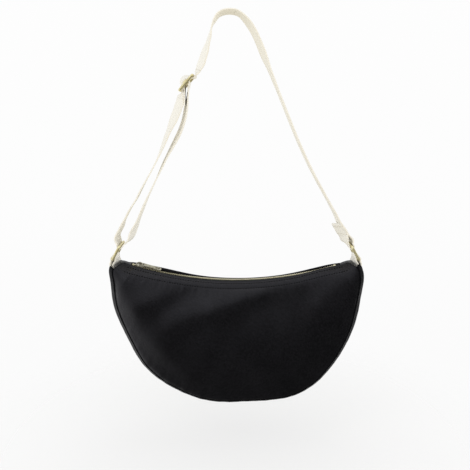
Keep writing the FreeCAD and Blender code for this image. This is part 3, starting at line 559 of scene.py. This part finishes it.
def panel_face(along, down, side):
    """Face of a panel from the folded edge (0) to the seam (1)."""
    top, low = mouth(along, side), seam(along)[0]
    place = top + (low - top) * down[..., None]
    x, z = place[..., 0], place[..., 1]
    length = np.linalg.norm(low - top, axis=-1)
    from_top, from_seam = down * length, (1 - down) * length
    below_band = np.clip(from_top - TOP_BAND, 0, None)
    full = 1 - (2 * along - 1) ** 4
    seam_depth = END_HALF_DEPTH + (BOTTOM_HALF_DEPTH - END_HALF_DEPTH) * full
    depth = MOUTH_HALF_GAP + (seam_depth - MOUTH_HALF_GAP) * (1 - (1 - down) ** 2)
    flatter = 1 - BELLY_LOSS * np.clip(x / BELLY_LOSS_AT, 0, 1) * (side < 0)
    depth = depth + BELLY * flatter * full * (4 * down * (1 - down)) ** BELLY_POWER
    # Near the mouth and the seam
    room = np.clip(length / FULL_RELIEF, 0, 1) ** 2
    band = BAND_RISE * (1 - np.exp(-from_top / BAND_ROUND)) * np.exp(-below_band / BAND_FADE)
    dent = sum(sink * bump(from_top, row, span) for row, sink, span in STITCH_DENTS)
    roll = SEAM_ROLL * np.exp(-from_seam / SEAM_ROLL_REACH)
    pucker = SEAM_PUCKER * ripple(along, 1.0 + side) * np.exp(-from_seam / SEAM_PUCKER_REACH)
    under_band = bump(from_top, TOP_BAND + BAND_PUCKER_BELOW, BAND_PUCKER_SPAN)
    pucker = pucker + BAND_PUCKER * ripple(along, 4.0 + side) * under_band
    # Away from them
    calm = (1 - np.exp(-from_seam / SEAM_CALM)) * (1 - np.exp(-below_band / BAND_CALM))
    folds = sum(ridge(x, z, *fold) for fold in (FRONT_FOLDS if side < 0 else BACK_FOLDS))
    depth = depth + room * (band - dent - roll + pucker) + calm * (folds + unevenness(x, z, side))
    return np.stack([x, side * depth, z], -1)


def panel_grid(side, columns=261):
    """Panel with its hem turned in at the mouth and its allowance turned in at the seam."""
    along = np.linspace(0, 1, columns)
    downs = np.unique(np.concatenate([np.linspace(*stretch) for stretch in PANEL_ROWS]))
    face = [panel_face(along, np.full(columns, down), side) for down in downs]
    edge = face[0]
    rows = []
    for turn in np.radians([180, 135, 90, 45]):
        lift = FOLD_RADIUS * np.sin(turn)
        inward = FOLD_RADIUS * (1 - np.cos(turn))
        rows.append(edge + np.array([0, -side * inward, lift]))
    hem = edge + np.array([0, -side * 2 * FOLD_RADIUS, -HEM])
    outward = seam(along)[1]
    allowance = [face[-1] - in_space(outward * depth, side * tuck) for depth, tuck in SEAM_TURN]
    return np.array([hem] + rows + face + allowance)


def seam_half_depth(along, side):
    return np.abs(panel_face(along, np.ones_like(along), side)[:, 1])


def crown(along):
    return SEAM_INSET + GUSSET_END_CROWN + (GUSSET_CROWN - GUSSET_END_CROWN) * (1 - (2 * along - 1) ** 6)


def gusset_grid(stations=321, columns=27):
    """Gusset from seam to seam, crowned, with its edges turned in."""
    along = np.linspace(0, 1, stations)
    base, outward = seam(along)
    front, back = seam_half_depth(along, -1) - SEAM_GAP, seam_half_depth(along, 1) - SEAM_GAP
    near_ends = bump(along, 0, CROWN_END_SPAN) + bump(along, 1, CROWN_END_SPAN)
    roundness = CROWN_POWER + CROWN_END_POWER * near_ends
    shares = np.concatenate([[-1, -1], np.sin(np.linspace(-math.pi / 2, math.pi / 2, columns)), [1, 1]])
    sinks = np.concatenate([[SEAM_ALLOWANCE, SEAM_GROOVE], np.zeros(columns), [SEAM_GROOVE, SEAM_ALLOWANCE]])
    tucks = np.concatenate([GUSSET_TUCKS, np.zeros(columns), -np.array(GUSSET_TUCKS[::-1])])
    strips = []
    for share, sink, tuck in zip(shares, sinks, tucks):
        near = np.exp(-(1 - abs(share)) / GUSSET_WRINKLE_REACH)
        lift = SEAM_SLIT + crown(along) * (1 - abs(share) ** roundness) - sink
        wrinkle = GUSSET_WRINKLE * ripple(along, 7.0 + share) * near
        wrinkle = wrinkle + GUSSET_RIPPLE * ripple(along * 0.6, 3.0 + 0.6 * share)
        lift = lift + wrinkle * (sink == 0)
        swell = SEAM_SWELL * bump(lift, SEAM_SWELL, SEAM_SWELL_SPAN) * (sink == 0)
        half = np.where(share < 0, front, back) + swell
        strips.append(in_space(base + outward * lift[:, None], share * half + tuck))
    grid = np.stack(strips, axis=1)
    ends = []
    for row, direction in ((0, 1), (-1, -1)):
        heading = outline_heading(along[row]) * direction
        shifts = in_space(np.array([heading * ahead - outward[row] * sink for ahead, sink in GUSSET_ENDS]))
        ends.append([grid[row] + shift for shift in shifts])
    return np.concatenate([ends[0][::-1], grid, ends[1]])


def lining_grid(side, columns=81):
    """Lining that hangs behind a panel."""
    along = np.linspace(*LINING_SPAN, columns)
    rows = [panel_face(along, np.full(columns, down), side) for down in np.linspace(*LINING_DROP, 25)]
    return np.array(rows) - np.array([0, side * LINING_INSET, 0])


def gusset_lining_grid(stations=121, columns=9):
    """Lining that lies inside the gusset."""
    along = np.linspace(*LINING_SPAN, stations)
    base, outward = seam(along)
    half = seam_half_depth(along, -1) - GUSSET_LINING_INSET
    strips = []
    for share in np.linspace(-1, 1, columns):
        lift = (crown(along) - GUSSET_LINING_SINK) * (1 - share ** 2) - GUSSET_LINING_INSET
        strips.append(in_space(base + outward * lift[:, None], share * half))
    return np.stack(strips, axis=1)


def tape_grid(side, columns=161):
    """Zip tape from the teeth to the folded edge, then down behind the panel."""
    angles = np.linspace(-1, 1, columns) * math.asin((MOUTH_HALF_SPAN - TAPE_END_GAP) / ZIP_RADIUS)
    return np.array([in_space(zip_arc(angles, lift), side * depth) for depth, lift in TAPE_SECTION])


def corner_grid(side, rows=21, columns=15):
    """Cloth from the end of the zip to the strap's tab, widening to close the bag's corner."""
    grid = np.zeros((rows, columns, 3))
    shares = np.linspace(-1, 1, columns)
    for row, share in enumerate(np.linspace(0, 1, rows)):
        reach = CORNER_FROM_X + CORNER_LENGTH * share
        flare = smooth_step((reach - CORNER_FLARE_X) / CORNER_FLARE_LENGTH)
        half = CORNER_HALF_WIDTH + CORNER_FLARE * flare
        lift = CORNER_LIFT + CORNER_ARCH * math.sin(math.pi * share)
        place = zip_arc(math.asin(reach / ZIP_RADIUS), lift)
        sag = CORNER_SAG * flare + CORNER_EDGE_SAG * flare * shares ** 2
        grid[row, :, 0] = side * place[0]
        grid[row, :, 1] = shares * half
        grid[row, :, 2] = place[1] - sag - CORNER_ROLL * np.abs(shares) ** 4
    return grid


def row_of_stitches(name, side, from_top):
    """Stitches along a panel, a set distance below its folded edge."""
    along = np.linspace(*STITCH_SPAN, 4001)
    length = np.linalg.norm(seam(along)[0] - mouth(along, side), axis=-1)
    path = panel_face(along, np.clip(from_top / length, 0, STITCH_LOWEST), side)
    beside = panel_face(along, np.clip((from_top + STITCH_BESIDE) / length, 0, STITCH_BESIDE_LOWEST), side)
    run = np.concatenate([[0], np.cumsum(np.linalg.norm(np.diff(path, axis=0), axis=1))])
    marks = np.arange(STITCH_PITCH, run[-1] - STITCH_PITCH, STITCH_PITCH)
    pick = np.searchsorted(run, marks)
    heading = path[pick + 1] - path[pick - 1]
    normal = np.cross(heading, beside[pick] - path[pick])
    normal *= np.sign(normal[:, 1:2] * side)
    return thread_piece(name, path[pick], heading, normal, STITCH_RADIUS, BLACK_THREAD)


def thread_piece(name, centres, headings, normals, radius, material):
    """Short stitches of thread, each a plump bead lying along its heading."""
    headings = headings / np.linalg.norm(headings, axis=1, keepdims=True)
    normals = normals - headings * np.sum(normals * headings, axis=1, keepdims=True)
    normals = normals / np.linalg.norm(normals, axis=1, keepdims=True)
    sides = np.cross(headings, normals)
    rings, spokes, plumpness = 7, 8, 0.6
    ball = [(0.0, 0.0, -1.0)]
    for ring in range(1, rings):
        tilt = math.pi * ring / rings
        swell = math.sin(tilt) ** plumpness
        for spoke in range(spokes):
            turn = 2 * math.pi * spoke / spokes
            ball.append((swell * math.cos(turn), swell * math.sin(turn), -math.cos(tilt)))
    ball.append((0.0, 0.0, 1.0))
    ball = np.array(ball)
    shape = []
    for spoke in range(spokes):
        after = (spoke + 1) % spokes
        shape.append((0, 1 + after, 1 + spoke))
        for ring in range(rings - 2):
            low, high = 1 + ring * spokes, 1 + (ring + 1) * spokes
            shape.append((low + spoke, low + after, high + after, high + spoke))
        last = 1 + (rings - 2) * spokes
        shape.append((last + spoke, last + after, len(ball) - 1))
    local = (ball[:, 0:1] * sides[:, None] + ball[:, 1:2] * normals[:, None]) * radius
    local = local + ball[:, 2:3] * headings[:, None] * (STITCH_LENGTH / 2)
    points = (centres[:, None] + local).reshape(-1, 3)
    starts = range(0, len(points), len(ball))
    faces = [tuple(start + corner for corner in face) for start in starts for face in shape]
    return finish_mesh(name, points, faces, points[np.concatenate(faces)][:, :2], material)


# Webbing


def left_of(heading):
    return np.array([-math.sin(heading), math.cos(heading)])


def run_between(post, following):
    """Straight run that leaves one post and meets the next: its ends and heading."""
    step = np.array(following[:2]) - np.array(post[:2])
    heading = math.atan2(step[1], step[0]) - math.asin((following[2] - post[2]) / np.linalg.norm(step))
    left = left_of(heading)
    return np.array(post[:2]) - post[2] * left, np.array(following[:2]) - following[2] * left, heading


def lean(degrees):
    """Direction that leans to the right from straight up."""
    return np.array([math.sin(math.radians(degrees)), math.cos(math.radians(degrees))])


def post_from(place, heading, ahead, lift, radius):
    """Post ahead of a place and lifted to the left of a heading."""
    step = ahead * np.array([math.cos(heading), math.sin(heading)]) + lift * left_of(heading)
    return (place[0] + step[0], place[1] + step[1], radius)


def hook_posts():
    """The three curves of the strap over the hook, right to left."""
    right, left = [(x, WEB_THICK / 2 - radius, radius) for x, radius in (APEX_RIGHT, APEX_LEFT)]
    reach = APEX_EASE_RADIUS - right[2] + APEX_EASE_RUN
    return [post_from(right, math.radians(APEX_EASE_SLOPE), -reach, 0.0, APEX_EASE_RADIUS), right, left]


def strap_posts():
    """Posts (x, z, signed radius) of the strap, from its end sewn at the right ring."""
    rise = RING_HEIGHT * lean(RING_LEAN)
    ring_x, ring_z = RING_PIVOT[0] - rise[0], RING_PIVOT[1] + rise[1]
    right_ring, left_ring = (ring_x, ring_z, WEB_TURN), (-ring_x, ring_z, WEB_TURN)
    over_hook = hook_posts()
    # Right leg, and the end folded back on it
    start, end, heading = run_between(right_ring, over_hook[0])
    leg = np.linalg.norm(end - start)
    bow_radius = LEG_BOW_ROUND * leg ** 2 / LEG_BOW
    leg_bow = post_from(start, heading, LEG_BOW_AT * leg, LEG_BOW - bow_radius, -bow_radius)
    start, _, heading = run_between(right_ring, leg_bow)
    fold_end = post_from(start, heading, FOLD_LENGTH, FOLD_PITCH, 0.0)
    fold_bend = post_from(start, heading, FOLD_OPEN, FOLD_PITCH + FOLD_BEND, -FOLD_BEND)
    # Adjuster on the left leg
    leg_top = APEX_LEFT[0] - APEX_LEFT[1]
    leg_run = leg_top + ring_x
    bar = np.array([leg_top - ADJUSTER_AT * leg_run + ADJUSTER_IN, ADJUSTER_AT * ring_z])
    pitch = ADJUSTER_PITCH * lean(ADJUSTER_TILT + math.degrees(math.atan2(leg_run, -ring_z)))
    weave = [(*(bar + pitch), -WEB_TURN), (*bar, ADJUSTER_TURN), (*(bar - pitch), -WEB_TURN)]
    # Loop at the left ring, and the doubled run back to the adjuster
    _, end, heading = run_between(weave[-1], left_ring)
    loop_belly = post_from(end, heading, -LOOP_BELLY_UP, LOOP_BELLY_RADIUS - LOOP_BELLY, LOOP_BELLY_RADIUS)
    heading = math.atan2(bar[1] - ring_z, bar[0] + ring_x)
    belly, bow = post_from(left_ring, heading, *RETURN_BELLY), post_from(bar, heading, *RETURN_BOW)
    posts = np.round([fold_end, fold_bend, right_ring, leg_bow, *over_hook, *weave,
                      loop_belly, left_ring, belly, bow, (*bar, WEB_TURN)], POST_DIGITS)
    _, start, heading = run_between(posts[-2], posts[-1])
    tail_end = np.round(post_from(start, heading, -TAIL_LENGTH, TAIL_PITCH, 0.0), POST_DIGITS)
    return [*posts, tail_end]


def belt(posts):
    """Middle line of webbing drawn round posts (x, z, signed radius), as points a small step apart."""
    runs = [run_between(post, following) for post, following in zip(posts, posts[1:])]
    line = []
    for number, (start, end, heading) in enumerate(runs):
        count = max(2, int(np.linalg.norm(end - start) / WEB_STEP))
        line.extend(start + (end - start) * step / count for step in range(count))
        if number + 1 == len(runs):
            line.append(end)
            break
        post = posts[number + 1]
        turn = (runs[number + 1][2] - heading) % (2 * math.pi)
        if post[2] < 0:
            turn -= 2 * math.pi
        count = max(2, int(abs(post[2] * turn) / min(WEB_STEP, abs(post[2]) * 0.25)))
        for step in range(count):
            line.append(np.array(post[:2]) - post[2] * left_of(heading + turn * step / count))
    return np.array(line)


def lengths_along(line):
    return np.concatenate([[0], np.cumsum(np.linalg.norm(np.diff(line, axis=0), axis=1))])


def relaxed(line, spread):
    """The line eased by a moving average whose reach, in millimetres, is given at each point."""
    at = lengths_along(line)
    eased = line.copy()
    for number, reach in enumerate(spread):
        if reach > LEAST_EASE:
            weight = np.exp(-((at - at[number]) / reach) ** 2)
            eased[number] = (line * weight[:, None]).sum(0) / weight.sum()
    return eased


def headings_along(line):
    heading = np.gradient(line, axis=0)
    return heading / np.linalg.norm(heading, axis=1, keepdims=True)


def web_directions(line, twist):
    """Directions across the webbing and out of its face along a line (x, z), turned by twist degrees."""
    heading = headings_along(line)
    along = in_space(heading)
    face = in_space(np.stack([-heading[:, 1], heading[:, 0]], -1))
    width = np.cross(face, along)
    turn = np.radians(twist)[:, None]
    side = width * np.cos(turn) + np.cross(along, width) * np.sin(turn)
    up = face * np.cos(turn) + np.cross(along, face) * np.sin(turn)
    return side, up


def web_section():
    """Outline of the webbing's section, with rounded edges."""
    half, thick = WEB_WIDTH / 2, WEB_THICK / 2
    flat = np.linspace(-half + WEB_EDGE, half - WEB_EDGE, 13)
    corner, low = half - 0.3 * WEB_EDGE, 0.72 * thick
    section = [(place, thick) for place in flat]
    section += [(corner, low), (half, 0.0), (corner, -low)]
    section += [(place, -thick) for place in flat[::-1]]
    section += [(-corner, -low), (-half, 0.0), (-corner, low)]
    return np.array(section)


def ribbon(name, line, twist, at, narrow=None):
    """Closed band of webbing along a line (x, z), turned by twist degrees and narrowed by shares."""
    side, up = web_directions(line, twist)
    section = web_section()
    spans = np.ones(len(line)) if narrow is None else narrow
    across = section[None, :, 0:1] * spans[:, None, None] * side[:, None, :]
    grid = in_space(line)[:, None, :] + across + section[None, :, 1:2] * up[:, None, :]
    rows, columns = grid.shape[:2]
    index = np.arange(rows * columns).reshape(rows, columns)
    after = np.roll(index, -1, axis=1)
    quads = np.stack([index[:-1], after[:-1], after[1:], index[1:]], -1).reshape(-1, 4).tolist()
    faces = quads + [index[0][::-1].tolist(), index[-1].tolist()]
    uv = np.stack(np.broadcast_arrays(section[None, :, 0], at[:, None]), -1).reshape(-1, 2)
    piece = finish_mesh(name, grid.reshape(-1, 3), faces, uv[np.concatenate(faces)], WEBBING)
    mesh = bmesh.new()
    mesh.from_mesh(piece.data)
    bmesh.ops.recalc_face_normals(mesh, faces=mesh.faces)
    mesh.to_mesh(piece.data)
    mesh.free()
    return piece


def eased_between(at, stops):
    """Values given at lengths, joined by smooth steps."""
    places, values = np.array([stop[0] for stop in stops]), np.array([stop[1] for stop in stops])
    slot = np.clip(np.searchsorted(places, at, side="right") - 1, 0, len(places) - 2)
    share = smooth_step((at - places[slot]) / (places[slot + 1] - places[slot]))
    return values[slot] + (values[slot + 1] - values[slot]) * share


strap_line = belt(strap_posts())
strap_at = lengths_along(strap_line)
spread = np.full(len(strap_line), MOST_EASE)
for bar, room in BARS:
    spread = np.minimum(spread, np.clip((np.abs(strap_at - bar) - room) * EASE_RISE, 0, MOST_EASE))
from_ends = np.minimum(strap_at, strap_at[-1] - strap_at)
strap_line = relaxed(strap_line, np.minimum(spread, np.clip(from_ends * EASE_RISE, 0, MOST_EASE)))
strap_heading = headings_along(strap_line)
strap_left = np.stack([-strap_heading[:, 1], strap_heading[:, 0]], -1)
strap_line = strap_line + strap_left * eased_between(strap_at, SHIFT)[:, None]
strap_twist = eased_between(strap_at, TWIST)


def strap_point(length):
    return np.array([np.interp(length, strap_at, strap_line[:, axis]) for axis in (0, 1)])


def stitch_rows(name, marks):
    """Rows of stitches across the webbing at lengths along the strap, on both of its faces."""
    centres, headings, normals = [], [], []
    side, up = web_directions(strap_line, strap_twist)
    middle = in_space(strap_line)
    for length in marks:
        spot = int(np.argmin(np.abs(strap_at - length)))
        for place in ACROSS_ROW:
            for sign in (1, -1):
                centres.append(middle[spot] + side[spot] * place + up[spot] * sign * WEB_THICK / 2)
                headings.append(side[spot])
                normals.append(up[spot] * sign)
    return thread_piece(name, np.array(centres), np.array(headings), np.array(normals),
                        WEB_STITCH_RADIUS, CREAM_THREAD)


def tab_piece(name, side):
    """Webbing folded round a ring's lower bar, turned and drawn together at its foot, and its length."""
    corner_at = np.array([0.0 if side < 0 else 1.0])
    outward, climb = outline_outward(corner_at)[0], outline_heading(corner_at)[0] * side
    foot = outline(corner_at)[0] + outward * TAB_SEAT - climb * TAB_SINK
    feet = [foot + outward * shift * side for shift in (TAB_HALF_GAP, -TAB_HALF_GAP)]
    pivot = np.round((side * RING_PIVOT[0], RING_PIVOT[1], WEB_TURN), POST_DIGITS)
    line = belt(((*feet[0], 0.0), pivot, (*feet[1], 0.0)))
    at = lengths_along(line)
    end, past_end, yaw = at[-1], at[-1] + 0.1, TAB_YAW * side
    twist = eased_between(at, (
        (0, yaw), (8, 0.9 * yaw), (end / 2 - 6, 0),
        (end / 2 + 6, 0), (end - 8, -0.9 * yaw), (past_end, -yaw)))
    narrow = eased_between(at, (
        (0, 0.72), (6, 0.74), (15, 1.0),
        (end - 15, 1.0), (end - 6, 0.74), (past_end, 0.72)))
    return ribbon(name + "_tab_web", line, twist, at, narrow), float(end)


# Put the bag together

FACES = (("front", -1), ("back", 1))
ENDS = (("left", -1), ("right", 1))
threads = {}
for name, side in FACES:
    rows = (("_top_stitching", TOP_BAND), ("_edge_stitching", EDGE_ROW))
    threads[name] = [row_of_stitches(name + row, side, from_top) for row, from_top in rows]
    for thread in threads[name]:
        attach(thread, "bag")

for name, side in FACES:
    panel = grid_piece(name + "_panel_cloth", panel_grid(side), CANVAS, flip=side > 0)
    bag_sheet(panel, name + "_panel", "canvas", (0.36, 0.225), "stretched", ["gusset_cloth"], 0.063,
              threads[name])
# The gusset takes the duller copy of the canvas, which paints shade on it.
gusset = grid_piece("gusset_cloth", gusset_grid(), GUSSET_SHADED_CANVAS)
bag_sheet(gusset, "gusset", "canvas", (0.0645, 0.592), "stretched", ["front_panel_cloth", "back_panel_cloth"])

for name, side in FACES:
    lining = grid_piece(name + "_lining_cloth", lining_grid(side), LINING, flip=side > 0)
    bag_sheet(lining, name + "_lining", "lining", (0.345, 0.2), "hung", [name + "_panel_cloth"], 0.05)
gusset_lining = grid_piece("gusset_lining_cloth", gusset_lining_grid(), LINING)
bag_sheet(gusset_lining, "gusset_lining", "lining", (0.04, 0.56), "hung", ["gusset_cloth"])

for name, side in FACES:
    tape = grid_piece("zip_tape_" + name + "_cloth", tape_grid(side), TAPE, flip=side < 0)
    bag_sheet(tape, "zip_tape_" + name, "zip_tape", (0.0135, 0.325), "stretched", [name + "_panel_cloth"])
for name, side in ENDS:
    corner = grid_piece("zip_end_" + name + "_cloth", corner_grid(side), CANVAS, flip=side < 0)
    bag_sheet(corner, "zip_end_tab_" + name, "canvas", (0.026, 0.018), "stretched",
              ["front_panel_cloth"], 0.0003)
for name, side in ENDS:
    tab, length = tab_piece(name, side)
    bag_sheet(tab, name + "_tab", "webbing", (0.03, length * METRE), "folded", [name + "_ring"])

strap = {}
ends = [cut[2] for cut in STRAP_CUTS[1:]] + [strap_at[-1]]
for (name, node, first, held, rests_on), last in zip(STRAP_CUTS, ends):
    inside = (strap_at > first + 0.05) & (strap_at < last - 0.05)
    at = np.concatenate([[first], strap_at[inside], [last]])
    line = np.array([strap_point(length) for length in at])
    strap[name] = ribbon(name + "_web", line, np.interp(at, strap_at, strap_twist), at)
    sheet_piece(strap[name], node, "webbing", (0.03, float(last - first) * METRE), held, rests_on)

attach(strap["strap_run"], "bag")
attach(strap["strap_in_adjuster"], "adjuster")
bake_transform(strap["strap_right_end"])
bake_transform(strap["strap_above_adjuster"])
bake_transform(strap["strap_below_adjuster"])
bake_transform(strap["strap_left_loop"])
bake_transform(strap["strap_return"])

fold_thread = stitch_rows("right_fold_stitching", FOLD_ROWS)
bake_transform(fold_thread)
tail_thread = stitch_rows("return_stitching", TAIL_ROWS)
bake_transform(tail_thread)

# Metal: the CAD nodes with a material and, apart from round wire, rounded edges in millimetres
METAL = {
    "zip_teeth_front": (TEETH_BRASS, 0.2), "zip_teeth_back": (TEETH_BRASS, 0.2),
    "zip_top_stops": (TEETH_BRASS, 0.3), "zip_bottom_stop": (TEETH_BRASS, 0.3),
    "zip_slider": (SLIDER_BRASS, 0.3), "zip_pull": (SLIDER_BRASS, 0.35), "left_ring": (BRASS, None),
    "right_ring": (BRASS, None), "adjuster_frame": (BRASS, None), "adjuster_bar": (BRASS, 0.25)}
for node, (material, rounding) in METAL.items():
    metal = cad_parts[node]
    metal.data.materials.clear()
    metal.data.materials.append(material)
    if rounding is not None:
        bevel = metal.modifiers.new("rounded", "BEVEL")
        bevel.width = rounding * METRE
        bevel.segments = 2
        bevel.limit_method = "ANGLE"
        bevel.angle_limit = math.radians(35)

# Stage, in metres
FLOOR_Z = -0.610
FLOOR_HALF = 0.7
FLOOR_FADE = (0.16, 0.5)  # distance from its middle where it starts to fade, and where it is gone
FLOOR_GLOW = 0.6  # share of the backdrop's white that the floor shows of itself
# Colours of the world from low to high
SKY_STOPS = (
    (0.0, (0.40, 0.36, 0.25)), (0.38, (1.0, 0.985, 0.94)),
    (0.62, (0.90, 0.895, 0.885)), (1.0, (0.56, 0.56, 0.56)))
BACKDROP_STOPS = (
    (0.0, (0.96, 0.96, 0.96)), (0.3, (0.98, 0.98, 0.98)),
    (0.62, (0.985, 0.985, 0.985)), (0.72, (0.80, 0.82, 0.82)))
SKY_STRENGTH = (1.45, 1.20)  # in front and behind
DARK_ROOM = 0.92  # share of the backdrop that glossy rays lose where it is darkest
CAMERA_PLACE = (-0.0009, -0.781, -0.1228)
CAMERA_TILT = 77.5
CAMERA_LENS = 43.47


def floor_material():
    """Pale floor that fades into the backdrop away from the bag, and isn't seen from below."""
    material, tree, shader = new_material("pale_floor")
    length = tree.nodes.new("ShaderNodeVectorMath")
    length.operation = "LENGTH"
    tree.links.new(object_place(tree), length.inputs[0])
    fade = range_node(tree, length.outputs["Value"], 1.0, 0.0, FLOOR_FADE, "SMOOTHERSTEP")
    geometry = tree.nodes.new("ShaderNodeNewGeometry")
    above = math_node(tree, "SUBTRACT", 1.0, geometry.outputs["Backfacing"])
    tree.links.new(math_node(tree, "MULTIPLY", fade, above), shader.inputs["Alpha"])
    seen = tree.nodes.new("ShaderNodeLightPath")
    glow = math_node(tree, "MULTIPLY", seen.outputs["Is Camera Ray"], FLOOR_GLOW)
    tree.links.new(glow, shader.inputs["Emission Strength"])
    shader.inputs["Emission Color"].default_value = (1.0, 1.0, 1.0, 1.0)
    shader.inputs["Base Color"].default_value = (0.40, 0.40, 0.397, 1.0)
    shader.inputs["Roughness"].default_value = 0.9
    shader.inputs["Specular IOR Level"].default_value = 0.1
    return material


floor_mesh = bpy.data.meshes.new("floor")
corners = [(x * FLOOR_HALF, y * FLOOR_HALF, 0) for x, y in ((-1, -1), (1, -1), (1, 1), (-1, 1))]
floor_mesh.from_pydata(corners, [], [(0, 1, 2, 3)])
floor_mesh.materials.append(floor_material())
floor = add_object("floor", floor_mesh)
floor.location = (0, 0, FLOOR_Z)
floor.visible_glossy = False
floor.visible_diffuse = False
floor.visible_shadow = False


def studio_world():
    """Soft light from all round, warm from below and strongest in front, and a near-white backdrop.

    Metal and cloth reflect the backdrop, and for that it is dark in front, below and to the right.
    """
    world = bpy.data.worlds.new("studio")
    world.use_nodes = True
    tree = world.node_tree
    tree.nodes.clear()
    output = tree.nodes.new("ShaderNodeOutputWorld")
    coords = tree.nodes.new("ShaderNodeTexCoord")
    split = tree.nodes.new("ShaderNodeSeparateXYZ")
    tree.links.new(coords.outputs["Generated"], split.inputs[0])
    right, away, up = split.outputs
    light = tree.nodes.new("ShaderNodeBackground")
    sky = range_node(tree, up, limits=(-0.9, 0.6))
    tree.links.new(ramp_node(tree, sky, SKY_STOPS), light.inputs["Color"])
    behind = weighted_sum(tree, (away, 1.0), (up, 0.6))
    tree.links.new(range_node(tree, behind, *SKY_STRENGTH, (-0.9, 0.2)), light.inputs["Strength"])
    backdrop = tree.nodes.new("ShaderNodeBackground")
    height = range_node(tree, up, limits=(-0.5, 0.6))
    tree.links.new(ramp_node(tree, height, BACKDROP_STOPS), backdrop.inputs["Color"])
    seen = tree.nodes.new("ShaderNodeLightPath")
    slope = weighted_sum(tree, (away, 1.0), (up, 1.15), (right, -0.9))
    dark_room = range_node(tree, slope, DARK_ROOM, 0.0, (-0.90, -0.22))
    dimmed = math_node(tree, "MULTIPLY", seen.outputs["Is Glossy Ray"], dark_room)
    tree.links.new(math_node(tree, "SUBTRACT", 1.0, dimmed), backdrop.inputs["Strength"])
    shown = math_node(tree, "MAXIMUM", seen.outputs["Is Camera Ray"], seen.outputs["Is Transmission Ray"])
    shown = math_node(tree, "MAXIMUM", shown, seen.outputs["Is Glossy Ray"])
    mix = tree.nodes.new("ShaderNodeMixShader")
    tree.links.new(shown, mix.inputs["Fac"])
    tree.links.new(light.outputs[0], mix.inputs[1])
    tree.links.new(backdrop.outputs[0], mix.inputs[2])
    tree.links.new(mix.outputs[0], output.inputs["Surface"])
    bpy.context.scene.world = world


def area_light(name, place, target, size, energy, colour):
    lamp = bpy.data.lights.new(name, "AREA")
    lamp.shape = "DISK"
    lamp.size = size
    lamp.energy = energy
    lamp.color = colour
    lamp_object = add_object(name, lamp)
    lamp_object.location = place
    lamp_object.rotation_euler = (Vector(target) - Vector(place)).to_track_quat("-Z", "Y").to_euler()


studio_world()
area_light("key", (-0.6, -0.75, 0.85), (-0.05, 0.0, -0.36), 0.8, 1.4, (0.98, 0.99, 1.0))
area_light("fill", (1.1, -0.8, 0.3), (0.0, 0.0, -0.3), 0.9, 0.3, (0.97, 0.98, 1.0))
area_light("top", (0.1, 0.05, 1.0), (0.0, 0.0, -0.4), 0.8, 2.2, (1.0, 1.0, 1.0))

camera = bpy.data.cameras.new("camera")
camera.sensor_width = 36.0
camera.lens = CAMERA_LENS
camera_object = add_object("camera", camera)
camera_object.location = CAMERA_PLACE
camera_object.rotation_euler = (math.radians(CAMERA_TILT), 0.0, 0.0)
bpy.context.scene.camera = camera_object
bpy.context.scene.view_settings.view_transform = "Standard"
